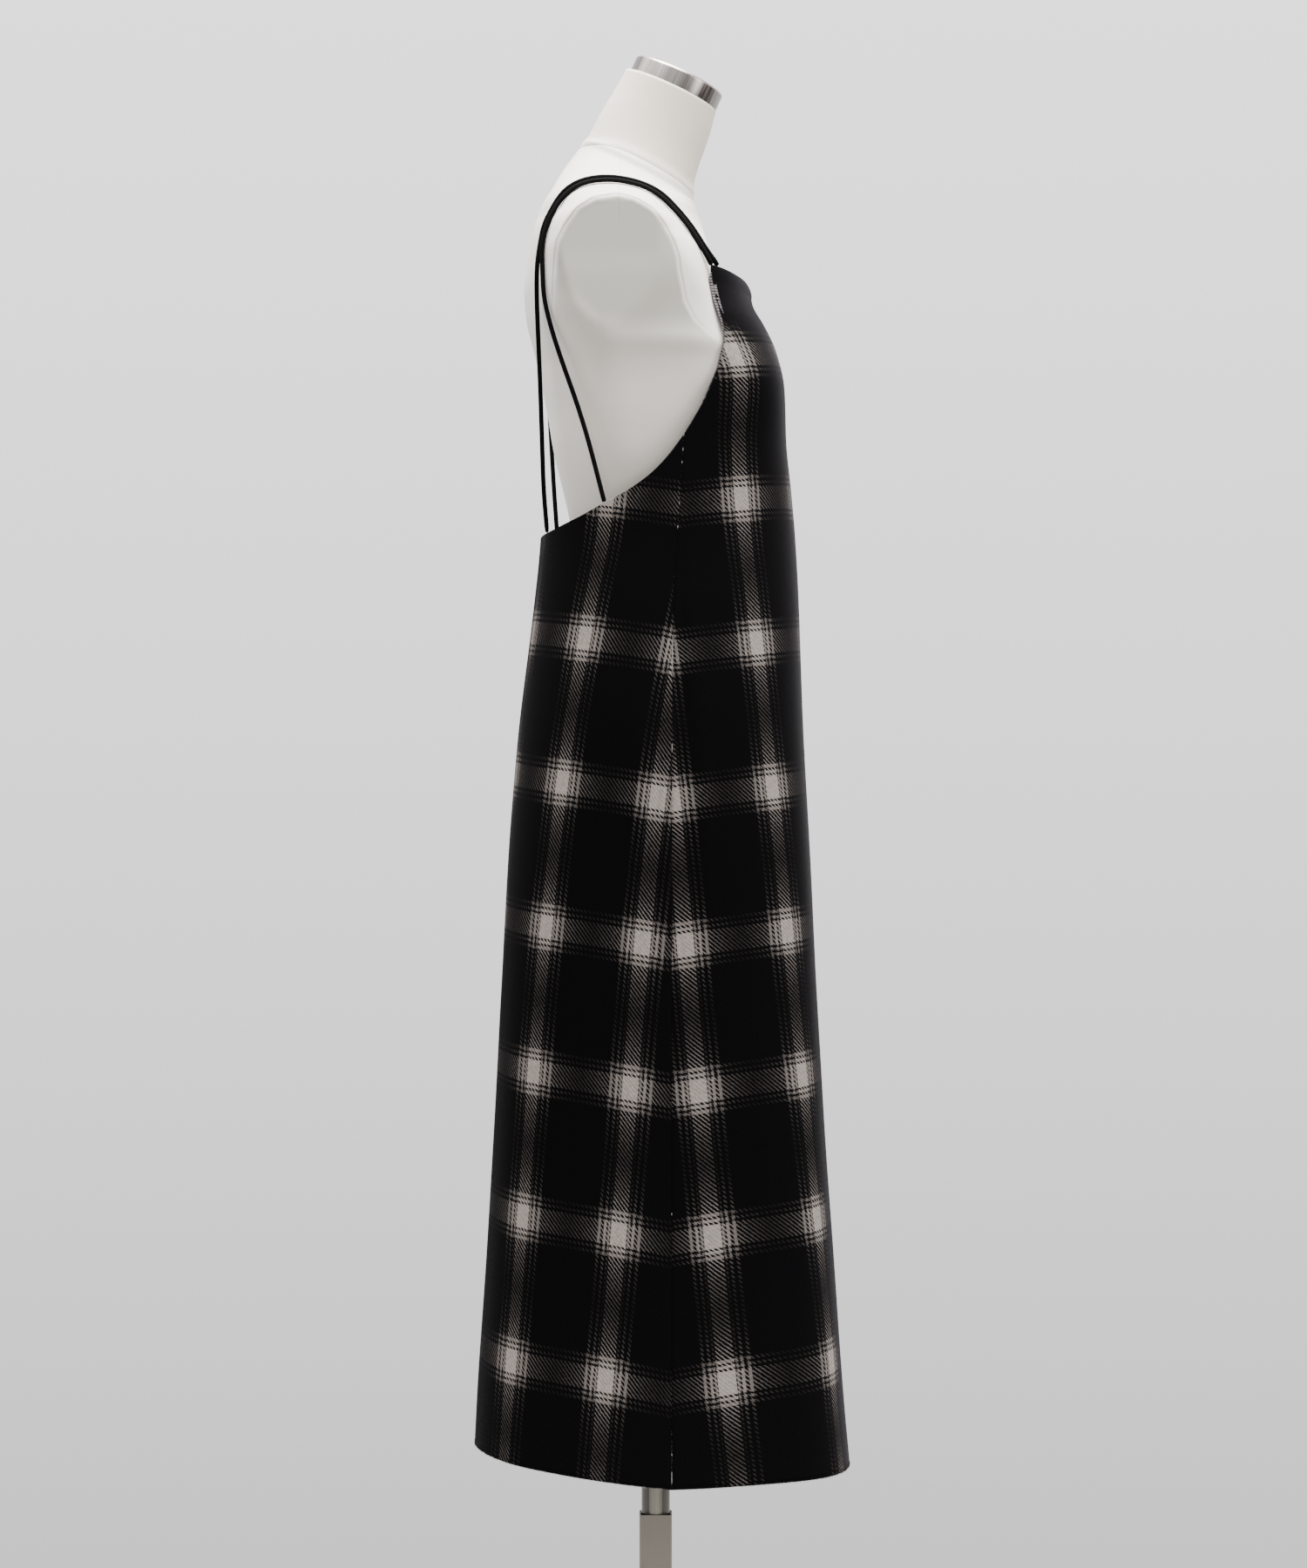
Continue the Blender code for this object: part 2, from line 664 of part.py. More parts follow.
def smooth_route(route, count):
    """Evenly spaced points on a smooth curve through the route's own points."""
    fine = []
    ends = [route[0] * 2 - route[1]] + list(route) + [route[-1] * 2 - route[-2]]
    for i in range(1, len(ends) - 2):
        a, b, c, d = ends[i - 1:i + 3]
        for t in np.linspace(0, 1, CORD_ROUTE_STEPS, endpoint=False):
            fine.append(0.5 * ((2 * b) + (c - a) * t + (2 * a - 5 * b + 4 * c - d) * t * t
                               + (3 * b - a - 3 * c + d) * t ** 3))
    fine.append(route[-1])
    lengths = np.concatenate(([0.0], np.cumsum([(b - a).length for a, b in zip(fine, fine[1:])])))
    points = []
    for at in np.linspace(0, lengths[-1], count):
        points.append(tuple(float(np.interp(at, lengths, [p[axis] for p in fine])) for axis in range(3)))
    return points


def cord_root(side, across):
    """Start of a cord, just above the front panel's upper edge."""
    height = NECKLINE_ROWS[-1][1]
    widths, depths = half_section(height, back=False)[:2]
    depth = float(np.interp(across, widths, depths))
    return Vector((side * across, depth + CLOTH_THICK / 2, height + CORD_ROOT_LIFT)) * MM


def cord_foot(side, depth_wanted, lift):
    """End of a cord, just above the back neckline."""
    sections = Sections(True)
    edge = back_edge(sections)
    depths = [sections.place(share, height)[1] for share, height in edge]
    height = float(np.interp(-depth_wanted, [-depth for depth in depths], [point[1] for point in edge]))
    share = sections.share_at_depth(depth_wanted, height)
    x, y = sections.place(share, height)
    pull = 1.0 - CLOTH_THICK / 2 / math.hypot(x, y)
    return Vector((side * x * pull, y * pull, height + lift)) * MM


def make_cord(name, form, side, across, leg, foot, material, parent):
    """One round cord from the front corner over the shoulder and down to the back neckline."""
    route = [cord_root(side, across - CORD_ROOT_SHIFT)]
    route += shoulder_points(form, side * across)
    for row in leg:
        place = dict(zip(LEG_COLUMNS, row))
        route.append(Vector((place["across"], place["depth"], place["height"])) * MM)
    route.append(cord_foot(side, *foot))
    curve = bpy.data.curves.new(name, "CURVE")
    curve.dimensions = "3D"
    curve.bevel_depth = CORD_RADIUS * MM
    curve.bevel_resolution = 2
    curve.use_fill_caps = True
    spline = curve.splines.new("POLY")
    points = smooth_route(route, CORD_POINTS)
    spline.points.add(len(points) - 1)
    for knot, point in zip(spline.points, points):
        knot.co = (*point, 1.0)
    curve.materials.append(material)
    cord = bpy.data.objects.new(name, curve)
    bpy.context.scene.collection.objects.link(cord)
    cord.parent = parent
    return cord


def make_sleeve(material, parent):
    """Square upright tube, open at both ends, that stands on the base plate."""
    outer = SLEEVE_SIDE / 2
    inner = outer - SLEEVE_WALL
    low = BASE_THICK + GAP
    work = bmesh.new()
    rings = []
    for half, height in ((outer, low), (outer, SLEEVE_TOP), (inner, SLEEVE_TOP), (inner, low)):
        corner = SLEEVE_CORNER if half == outer else SLEEVE_CORNER / 2
        ring = []
        for quarter in range(4):
            for step in range(SLEEVE_CORNER_STEPS + 1):
                turn = (quarter + step / SLEEVE_CORNER_STEPS) * math.pi / 2
                centre_turn = (quarter + 0.5) * math.pi / 2
                reach = half - corner
                x = math.copysign(reach, math.cos(centre_turn)) + corner * math.cos(turn)
                y = math.copysign(reach, math.sin(centre_turn)) + corner * math.sin(turn)
                ring.append(work.verts.new((x * MM, y * MM, height * MM)))
        rings.append(ring)
    for a, b in zip(rings, rings[1:] + rings[:1]):
        for i in range(len(a)):
            j = (i + 1) % len(a)
            work.faces.new((a[i], a[j], b[j], b[i]))
    bmesh.ops.recalc_face_normals(work, faces=work.faces)
    mesh = bpy.data.meshes.new("stand_sleeve")
    work.to_mesh(mesh)
    work.free()
    mesh.shade_smooth()
    mesh.set_sharp_from_angle(angle=math.radians(35.0))
    mesh.materials.append(material)
    sleeve = bpy.data.objects.new("stand_sleeve", mesh)
    bpy.context.scene.collection.objects.link(sleeve)
    sleeve.parent = parent
    return sleeve


def make_base(material, parent):
    profile = [(0, 0), (BASE_RADIUS - BASE_EDGE / 2, 0), (BASE_RADIUS, BASE_EDGE / 2),
               (BASE_RADIUS, BASE_THICK - BASE_EDGE), (BASE_RADIUS - BASE_EDGE, BASE_THICK), (0, BASE_THICK)]
    return turned("base_plate", profile, BASE_SEGMENTS, material, parent)


def make_pole(material, parent):
    """Round tube that slides in the sleeve, with the flange that carries the form."""
    top = FORM_ROWS[0][0] - GAP
    flange = top - FLANGE_THICK
    profile = [(0, POLE_BOTTOM), (POLE_RADIUS - POLE_BEVEL, POLE_BOTTOM),
               (POLE_RADIUS, POLE_BOTTOM + POLE_BEVEL), (POLE_RADIUS, flange),
               (FLANGE_RADIUS - POLE_BEVEL, flange), (FLANGE_RADIUS, flange + POLE_BEVEL),
               (FLANGE_RADIUS, top), (0, top)]
    return turned("pole", profile, POLE_SEGMENTS, material, parent)


def make_knob(material, parent):
    """Clamp knob on the sleeve's far side, with six shallow finger lobes."""
    face = KNOB_STEM_LENGTH + KNOB_LENGTH
    profile = [(0, 0), (KNOB_STEM_RADIUS, 0), (KNOB_STEM_RADIUS, KNOB_STEM_LENGTH),
               (KNOB_RADIUS - KNOB_BACK_BEVEL, KNOB_STEM_LENGTH),
               (KNOB_RADIUS, KNOB_STEM_LENGTH + KNOB_BACK_BEVEL),
               (KNOB_RADIUS, face - KNOB_FACE_BEVEL), (KNOB_RADIUS - KNOB_FACE_BEVEL, face), (0, face)]
    knob = turned("clamp_knob", profile, KNOB_SEGMENTS, material, parent)
    for vertex in knob.data.vertices:
        radius = math.hypot(vertex.co.x, vertex.co.y)
        if radius > (KNOB_STEM_RADIUS + 1) * MM:
            turn = math.atan2(vertex.co.y, vertex.co.x)
            cut = KNOB_LOBE_DEPTH * MM * (1 - math.cos(KNOB_LOBES * turn)) / 2
            vertex.co.x *= (radius - cut) / radius
            vertex.co.y *= (radius - cut) / radius
    knob.rotation_euler = (0, math.pi / 2, 0)
    knob.location = ((SLEEVE_SIDE / 2 + GAP) * MM, 0, KNOB_HEIGHT * MM)
    return knob


def make_empty(name):
    empty = bpy.data.objects.new(name, None)
    bpy.context.scene.collection.objects.link(empty)
    return empty


def main():
    clear_scene()
    velour = make_material("checked velour", (0.035, 0.033, 0.033), 0.95)
    cord_black = make_material("black cord", (0.012, 0.012, 0.013), 0.85)
    form_cover = make_material("form cover", (0.72, 0.69, 0.65), 0.8)
    steel = make_material("brushed steel", (0.45, 0.43, 0.40), 0.35, 1.0)
    knob_plastic = make_material("knob plastic", (0.02, 0.02, 0.02), 0.5)

    stand = make_empty("stand_root")
    slide = make_empty("height_slide")
    slide.parent = stand

    make_base(steel, stand)
    make_sleeve(steel, stand)
    make_knob(knob_plastic, stand)
    make_pole(steel, slide)
    form = make_form(form_cover, slide)
    make_neck_cap(steel, slide)
    make_panel("front_panel", False, velour, slide)
    make_panel("back_panel", True, velour, slide)
    cords = (
        ("cord_right_inner", -1, INNER_CORD_X, RIGHT_INNER_LEG, RIGHT_INNER_FOOT),
        ("cord_right_outer", -1, OUTER_CORD_X, RIGHT_OUTER_LEG, OUTER_FOOT),
        ("cord_left_inner", 1, INNER_CORD_X, LEFT_INNER_LEG, LEFT_INNER_FOOT),
        ("cord_left_outer", 1, OUTER_CORD_X, LEFT_OUTER_LEG, OUTER_FOOT),
    )
    for name, side, across, leg, foot in cords:
        make_cord(name, form, side, across, leg, foot, cord_black, slide)


main()
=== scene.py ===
# %% [markdown]
# # Camisole dress on a dress form
# A long black dress hangs from two pairs of thin cords on a limbless dress form. The cloth is a
# velour with a shadow plaid. This script loads the solid model as a fixed frame, and gives every
# piece its fine surface and its finish. Sizes are in millimetres and MM turns them into metres.

# %% Frame
import math
import random
from functools import partial

import bpy
import numpy as np
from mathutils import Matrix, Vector


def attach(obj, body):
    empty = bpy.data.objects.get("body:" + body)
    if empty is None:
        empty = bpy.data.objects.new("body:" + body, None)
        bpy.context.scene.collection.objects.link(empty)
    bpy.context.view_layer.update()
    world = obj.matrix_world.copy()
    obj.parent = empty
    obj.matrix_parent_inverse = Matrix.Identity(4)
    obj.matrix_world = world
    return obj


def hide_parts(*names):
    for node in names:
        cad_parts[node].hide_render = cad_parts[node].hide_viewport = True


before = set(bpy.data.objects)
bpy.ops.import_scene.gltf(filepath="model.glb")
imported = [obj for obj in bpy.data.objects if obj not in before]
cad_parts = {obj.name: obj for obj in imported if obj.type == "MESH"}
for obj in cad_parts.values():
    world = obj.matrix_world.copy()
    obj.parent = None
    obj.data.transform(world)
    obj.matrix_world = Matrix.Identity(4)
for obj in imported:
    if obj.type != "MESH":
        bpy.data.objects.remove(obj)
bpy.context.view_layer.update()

MM = 0.001

# %% [markdown]
# ## View
# The photograph is a level side view of the wearer's right side, from far away. A long lens at
# the same distance and height gives the same shape to the neck's and the hem's curves.

# %% Camera
CAMERA_PLACE = (-4.3, 0.0021, 0.92)
LENS_MM = 103.2
SENSOR_MM = 36.0

camera_data = bpy.data.cameras.new("view")
camera_data.lens = LENS_MM
camera_data.sensor_width = SENSOR_MM
camera = bpy.data.objects.new("view", camera_data)
camera.location = CAMERA_PLACE
camera.rotation_euler = (math.radians(90), 0, math.radians(-90))
bpy.context.scene.collection.objects.link(camera)
bpy.context.scene.camera = camera
print("camera at", CAMERA_PLACE)

# %% [markdown]
# ## Helpers for materials
# A colour is written as the hex value that the eye sees, and turned to the linear value that a
# shader needs. One function adds any node, with its settings and links, and gives back its
# output, so that a material reads as a list.

# %% Colours and nodes
MODES = {"Math": "operation", "Mix": "data_type", "MapRange": "interpolation_type"}


def linear(hex_colour):
    """Linear RGBA of an sRGB hex colour."""
    parts = [int(hex_colour[i:i + 2], 16) / 255 for i in (1, 3, 5)]
    return (*[c / 12.92 if c <= 0.04045 else ((c + 0.055) / 1.055) ** 2.4 for c in parts], 1.0)


def set_sockets(node, values):
    """Sets sockets, by name or in their order, to numbers or to links from other nodes."""
    for socket, value in (values.items() if isinstance(values, dict) else enumerate(values)):
        if isinstance(value, bpy.types.NodeSocket):
            node.id_data.links.new(value, node.inputs[socket])
        else:
            node.inputs[socket].default_value = value


def add_node(tree, kind, values=(), out="", **settings):
    """Adds a node and returns its output. kind may end with its mode, as in "Math ADD"."""
    kind, _, mode = kind.partition(" ")
    node = tree.nodes.new("ShaderNode" + kind)
    if mode:
        settings[MODES[kind]] = mode
    for name, value in settings.items():
        setattr(node, name, value)
    set_sockets(node, values)
    return node.outputs[out] if out else next(socket for socket in node.outputs if socket.enabled)


def new_material(name, **values):
    """A material with its Principled shader's own sockets set, the shader, and add_node for it."""
    material = bpy.data.materials.new(name)
    material.use_nodes = True
    shader = material.node_tree.nodes["Principled BSDF"]
    set_sockets(shader, {socket.replace("_", " "): value for socket, value in values.items()})
    return material, shader, partial(add_node, material.node_tree)


def set_ramp(colour, stops):
    """Gives the colour ramp that this colour comes from a grey at each stop's place."""
    elements = colour.node.color_ramp.elements
    for place, _ in stops[1:-1]:
        elements.new(place)
    for element, (place, tone) in zip(elements, stops):
        element.position = place
        element.color = (tone, tone, tone, 1)


print("mid grey, linear:", round(linear("#777777")[0], 3))

# %% [markdown]
# ## Helpers for shapes
# Each table is read by the names of its columns. A curve through a table's rows never overshoots
# them, so the cloth and the form have no ripples that the tables don't hold.

# %% Tables
def smooth(places, values, at):
    """Values of a curve through the points at any places, with no overshoot between them."""
    order = np.argsort(places)
    x = np.asarray(places, dtype=float)[order]
    y = np.asarray(values, dtype=float)[order]
    at = np.clip(at, x[0], x[-1])
    spans = np.diff(x)
    slopes = np.diff(y) / spans
    tangents = np.zeros(len(x))
    tangents[0] = slopes[0]
    tangents[-1] = slopes[-1]
    for i in range(1, len(x) - 1):
        if slopes[i - 1] * slopes[i] > 0:
            first = 2 * spans[i] + spans[i - 1]
            second = spans[i] + 2 * spans[i - 1]
            tangents[i] = (first + second) / (first / slopes[i - 1] + second / slopes[i])
    i = np.clip(np.searchsorted(x, at) - 1, 0, len(spans) - 1)
    t = (at - x[i]) / spans[i]
    rising = y[i] * (1 + 2 * t) * (1 - t) ** 2 + y[i + 1] * t * t * (3 - 2 * t)
    return rising + spans[i] * t * (1 - t) * (tangents[i] * (1 - t) - tangents[i + 1] * t)


def ease(value):
    """A soft step from 0 to 1, level at both ends."""
    value = np.clip(value, 0.0, 1.0)
    return value * value * (3 - 2 * value)


class Table:
    """Rows of values under named columns."""

    def __init__(self, names, rows):
        self.names, self.rows = names.split(), rows

    def column(self, name):
        place = self.names.index(name)
        return np.array([row[place] for row in self.rows], dtype=float)

    def read(self, name, by, at):
        """Values of one column at any places of another, on a smooth curve."""
        return smooth(self.column(by), self.column(name), at)

    def each(self):
        """Every row as values by name."""
        return [dict(zip(self.names, row)) for row in self.rows]


def run_along(points):
    """Length of a line of points up to each of them."""
    return np.concatenate(([0.0], np.cumsum(np.linalg.norm(np.diff(points, axis=0), axis=1))))


print("a curve halfway up a step of 1:", smooth([0, 1, 2], [0, 1, 1], 0.5))

# %% [markdown]
# Every new piece is made in one place of the script: its mesh holds its place, its object stays at
# the origin, and it rides on a body of the frame from the start.

# %% Meshes
def new_piece(name, points, faces, material, body):
    """A smooth-shaded piece from points in millimetres, riding on a body of the frame."""
    mesh = bpy.data.meshes.new(name)
    mesh.from_pydata((np.asarray(points, dtype=float) * MM).tolist(), [], faces)
    mesh.shade_smooth()
    mesh.materials.append(material)
    piece = bpy.data.objects.new(name, mesh)
    bpy.context.scene.collection.objects.link(piece)
    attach(piece, body)
    return piece


def only(piece):
    """Makes one piece the only one selected, and active."""
    bpy.ops.object.select_all(action="DESELECT")
    piece.select_set(True)
    bpy.context.view_layer.objects.active = piece


def apply_modifiers(piece):
    """Bakes all of a piece's modifiers into its mesh."""
    only(piece)
    for modifier in list(piece.modifiers):
        bpy.ops.object.modifier_apply(modifier=modifier.name)


print("pieces are made at the origin, in metres")

# %% [markdown]
# A surface is a grid of points and the four-sided faces between them. Cloth gets its wall from
# Solidify, which is simpler than a second grid and keeps an even thickness.

# %% Grids and cloth
def quads(lines, count, first=0, around=False, flip=False):
    """Faces between lines of points with the same count. around closes each line to a ring."""
    faces = []
    for line in range(lines - 1):
        for i in range(count if around else count - 1):
            low, ahead = first + line * count + i, first + line * count + (i + 1) % count
            face = (low, ahead, ahead + count, low + count)
            faces.append(face[::-1] if flip else face)
    return faces


def lay_cloth_map(piece, spots):
    """The piece's own UV map, in metres of cloth, from a place in millimetres for each point."""
    corners = np.zeros(len(piece.data.loops), dtype=np.int32)
    piece.data.loops.foreach_get("vertex_index", corners)
    layer = piece.data.uv_layers.new(name="cloth")
    layer.data.foreach_set("uv", (np.reshape(spots, (-1, 2)) * MM)[corners].ravel())


def give_wall(piece, thickness):
    """Turns a surface into a wall of cloth inside it."""
    wall = piece.modifiers.new("wall", "SOLIDIFY")
    wall.thickness = thickness * MM
    wall.offset = -1.0
    apply_modifiers(piece)


print("faces of a 2 x 2 grid:", quads(2, 2))

# %% [markdown]
# ## Shadow plaid velour
# The cloth is a black velour, a short soft pile on a knitted or woven ground. Its shadow plaid is
# a twill check: columns of light warp cross bands of light weft. Where both are light, a solid
# light block shows, and where only one is light it shows as slanting twill lines on black.
#
# The pattern is worked out from its real repeat, stripe and twill sizes, which were charted, on the
# cloth's own UV map, whose unit is one metre of cloth.

# %% Plaid sizes
COLUMN_REPEAT = 103.0
BAND_REPEAT = 133.4
# Light stripes of one column or band: from and to, as distances from its middle line, and strength.
COLUMN_STRIPES = ((0.0, 7.8, 1.0), (8.9, 10.6, 0.4), (12.7, 15.1, 0.55), (18.4, 21.0, 0.42))
BAND_STRIPES = ((0.0, 10.8, 1.0), (13.2, 15.6, 0.7), (18.2, 21.0, 0.5))
STRIPE_SOFTNESS = 0.5
# Each light yarn is darkest halfway between the blocks. The fades' lengths are in millimetres.
FADE_STARTS = 12.0
FADE_FLOOR = 0.03
WARP_FADE = 21.0
WEFT_FADE = 13.0
NECKLINE_FADE = (1338, 1356)
TWILL_EDGES = (0.22, 0.9)
TWILL_SPACING = 4.3
WEFT_STRENGTH = 0.75
RIB_SPACING = 1.9
YARN_WOBBLE = 0.9
LIGHT_YARN = "#948b85"
BLACK_YARN = "#080708"
PILE_SHEEN_GREY = "#151417"
print("plaid repeat:", COLUMN_REPEAT, "x", BAND_REPEAT, "mm")

# %% [markdown]
# A light stripe is a step up and a step down on a colour ramp. The light yarns look shaded: each
# stripe is lightest where it crosses another and almost black halfway between.

# %% Plaid stripes
def stripe_tone(add, off, stripes, repeat):
    """1 on the light stripes and 0 between them, by the distance off the repeat's middle line."""
    stops = [(0.0, 1.0)]
    for low, high, strength in stripes:
        if low > 0:
            stops += [(low - STRIPE_SOFTNESS, 0.0), (low + STRIPE_SOFTNESS, strength)]
        stops += [(high - STRIPE_SOFTNESS, strength), (high + STRIPE_SOFTNESS, 0.0)]
    tone = add("ValToRGB", (add("Math DIVIDE", (off, repeat / 2 * MM)),))
    set_ramp(tone, [(2 * place / repeat, light) for place, light in stops])
    return tone


def shaded_yarn(add, stripes, off, length):
    """The stripes, full up to a first distance off the crossing stripes and then falling to almost
    nothing. The weaker side stripes fall twice as fast."""
    past = add("Math MAXIMUM", (0.0, add("Math SUBTRACT", (off, FADE_STARTS * MM))))
    fall = add("Math EXPONENT", (add("Math DIVIDE", (past, -length * MM)),))
    fade = add("Math MULTIPLY_ADD", (fall, 1 - FADE_FLOOR, FADE_FLOOR))
    missing = add("Math SUBTRACT", (1.0, stripes))
    side_fade = add("Math MULTIPLY_ADD", (missing, fade, stripes))
    return add("Math MULTIPLY", (stripes, add("Math MULTIPLY", (fade, side_fade))))


def off_middle(add, place, start, repeat):
    """Distance off the nearest middle line of a pattern that repeats."""
    return add("Math PINGPONG", (add("Math SUBTRACT", (place, start * MM)), repeat / 2 * MM))


print("shading starts", FADE_STARTS, "mm off the crossing stripes")

# %% [markdown]
# The colour goes through the plaid first and a painted sheen second. Seen edge on, the black turns
# to a soft grey, which a little shader sheen and a painted sheen, a grey at grazing angles, give. The
# real pile and its ribs are too fine to show, so the noise and ribs are drawn coarser, near one
# millimetre.

# %% Velour material
def make_velour(name, first_band, sheen, edge_sheen):
    """Velour with the plaid. first_band is the V place of one band's middle line, in millimetres.
    edge_sheen is how much grey painted sheen the pile gets where it is seen edge on."""
    material, shader, add = new_material(
        name, Roughness=0.9, Specular_IOR_Level=0.02, Sheen_Weight=sheen, Sheen_Roughness=0.3,
        Sheen_Tint=linear("#cfc9cf"))
    place = add("UVMap", uv_map="cloth")
    wobble = add("TexNoise", {"Vector": place, "Scale": 420.0, "Detail": 1.0})
    shift = add("Math MULTIPLY", (add("Math SUBTRACT", (wobble, 0.5)), YARN_WOBBLE * MM))
    across, up = [add("Math ADD", (add("SeparateXYZ", (place,), out=axis), shift)) for axis in "XY"]

    column_off = off_middle(add, across, COLUMN_REPEAT / 2, COLUMN_REPEAT)
    band_off = off_middle(add, up, first_band, BAND_REPEAT)
    warp = stripe_tone(add, column_off, COLUMN_STRIPES, COLUMN_REPEAT)
    weft = stripe_tone(add, band_off, BAND_STRIPES, BAND_REPEAT)
    warp = shaded_yarn(add, warp, band_off, WARP_FADE)
    weft = shaded_yarn(add, weft, column_off, WEFT_FADE)
    low, high = NECKLINE_FADE
    below_neckline = add("MapRange", (up, low * MM, high * MM, 1.0, 0.0))
    warp = add("Math MULTIPLY", (warp, below_neckline))

    phase = add("Math DIVIDE", (add("Math ADD", (across, up)), TWILL_SPACING * MM / (2 * math.pi)))
    wave = add("Math SINE", (phase,))
    warp_up = add("MapRange SMOOTHSTEP", (wave, *TWILL_EDGES))
    weft_up = add("MapRange SMOOTHSTEP", (add("Math MULTIPLY", (wave, -1.0)), *TWILL_EDGES))
    weft_alone = add("Math MULTIPLY", (weft, WEFT_STRENGTH))
    either = add("Math MULTIPLY_ADD", (warp, warp_up, add("Math MULTIPLY", (weft_alone, weft_up))))
    flat = add("Math SUBTRACT", (add("Math SUBTRACT", (1.0, warp_up)), weft_up))
    both = add("Math MULTIPLY", (add("Math MINIMUM", (warp, weft)), flat))
    light = add("Math ADD", (either, both), use_clamp=True)

    rib = add("Math SINE", (add("Math MULTIPLY", (across, 2 * math.pi / (RIB_SPACING * MM))),))
    worn = add("TexNoise", {"Vector": place, "Scale": 260.0, "Detail": 2.0})
    light = add("Math MULTIPLY", (light, add("MapRange", (worn, 0.3, 0.7, 0.78, 1.06))))
    light = add("Math MULTIPLY", (light, add("Math MULTIPLY_ADD", (rib, 0.035, 0.96))))
    colour = add("Mix RGBA", {"Factor": light, "A": linear(BLACK_YARN), "B": linear(LIGHT_YARN)})
    # Painted sheen: where the cloth is seen edge on, its colour is mixed towards a grey.
    edge_on = add("LayerWeight", {"Blend": 0.5}, out="Facing")
    sheened_colour = add("Mix RGBA", {"Factor": add("MapRange", (edge_on, 0.72, 0.97, 0.0, edge_sheen)),
                              "A": colour, "B": linear(PILE_SHEEN_GREY)})

    pile = add("TexNoise", {"Vector": place, "Scale": 900.0, "Detail": 2.0})
    height = add("Math MULTIPLY_ADD", (rib, 0.3, pile))
    bump = add("Bump", {"Strength": 0.35, "Distance": 0.3 * MM, "Height": height})
    set_sockets(shader, {"Base Color": sheened_colour, "Normal": bump})
    return material


FRONT_FIRST_BAND = 924.3
BACK_FIRST_BAND = 930.5
# The back's copy has less sheen and less painted sheen, so its side is painted darker: painted shade.
front_velour = make_velour("velour with shadow plaid front", FRONT_FIRST_BAND, 0.055, 0.85)
back_velour = make_velour("velour with shadow plaid back", BACK_FIRST_BAND, 0.01, 0.4)
print("velour materials made")

# %% [markdown]
# ## The dress's two panels
# A maker cuts a front that is wide at the hem and reaches up to a straight neckline between deep
# armholes, and a back that ends low. Each panel here is a surface through the same level sections
# that the solid has, with its soft folds, then a thin wall made by Solidify.

# %% Panel tables
CLOTH_WALL = 1.4
SEAM_GAP = 0.01
SECTION = Table("height half_width front back seam front_power back_power", (
    (240, 199, -192, 181, -14.6, 3.4, 2.8),
    (283, 197, -188, 179, -14.6, 3.4, 2.8),
    (354, 194, -181, 175, -14.6, 3.4, 2.8),
    (475, 189, -172.5, 166.5, -14.6, 3.35, 2.8),
    (596, 185, -164, 159.5, -14.6, 3.25, 2.75),
    (717, 181, -158, 153, -14.6, 3.05, 2.7),
    (839, 177, -153, 145, -15, 2.85, 2.6),
    (961, 173, -147, 133, -15, 2.6, 2.5),
    (1083, 163, -141.2, 117, -16, 2.5, 2.45),
    (1153, 155, -135.8, 110, -20, 2.5, 2.4),
    (1197, 152, -130.8, 108, -23, 2.6, 2.4),
    (1244, 150, -125, 107, -26, 2.85, 2.4),
    (1295, 149, -122.5, 107, -29, 3.2, 2.4),
    (1330, 148, -115, 107, -31, 2.7, 2.4),
    (1355, 146, -104, 107, -32, 2.3, 2.4),
    (1373, 144, -94, 107, -32, 2.0, 2.4),
    (1391, 142, -88.5, 107, -32, 1.9, 2.4),
    (1410, 140, -84, 107, -32, 1.9, 2.4),
))
FRONT_FOLDS = Table("share width rise starts full", (
    (0.00, 0.34, -7.0, 1310, 950),
    (-0.50, 0.17, 3.0, 1240, 600),
    (-0.76, 0.13, -4.0, 1120, 500),
    (-1.00, 0.07, -3.0, 1215, 1100),
    (0.47, 0.18, 3.5, 1240, 620),
    (0.74, 0.14, -4.5, 1120, 520),
    (1.00, 0.07, -3.0, 1215, 1100),
))
BACK_FOLDS = Table("share width rise starts full", (
    (0.04, 0.30, -9.0, 1080, 620),
    (-0.52, 0.18, 4.0, 1060, 560),
    (-0.80, 0.12, -4.0, 1040, 500),
    (-1.00, 0.07, -3.0, 1215, 1100),
    (0.55, 0.17, 4.0, 1060, 540),
    (0.79, 0.13, -4.5, 1040, 520),
    (1.00, 0.07, -3.0, 1215, 1100),
))
HEM = Table("share front back", (
    (0.0, 284, 302), (0.35, 283, 299), (0.6, 281, 291), (0.8, 278, 282), (1.0, 275, 275)))
NECKLINE = Table("share height", (
    (0.0, 1395.5), (0.25, 1396), (0.5, 1397.5), (0.7, 1400), (0.85, 1402)))
ARMHOLE = Table("height depth", (
    (1399, -51.5), (1384, -53), (1369, -56), (1356, -59.6), (1342, -62.8), (1332, -63.3),
    (1318, -60.5), (1304, -56.8), (1290, -51), (1274, -44)))
BACK_EDGE = Table("depth height", (
    (109, 1152.5), (99, 1157.5), (75, 1167), (48, 1180.5), (26, 1192), (6, 1206), (-10, 1222)))
SEAM_TOP = 1243.0
ROLL = Table("below proud", ((0, 0.4), (4, 1.9), (9, 2.2), (14, 0.6), (20, 0.0)))
ROLL_AT_STRAP = 0.2
ROLL_FADE = 1.6
BACK_COLUMN_SPREAD = 1.6
print("level sections:", len(SECTION.rows))
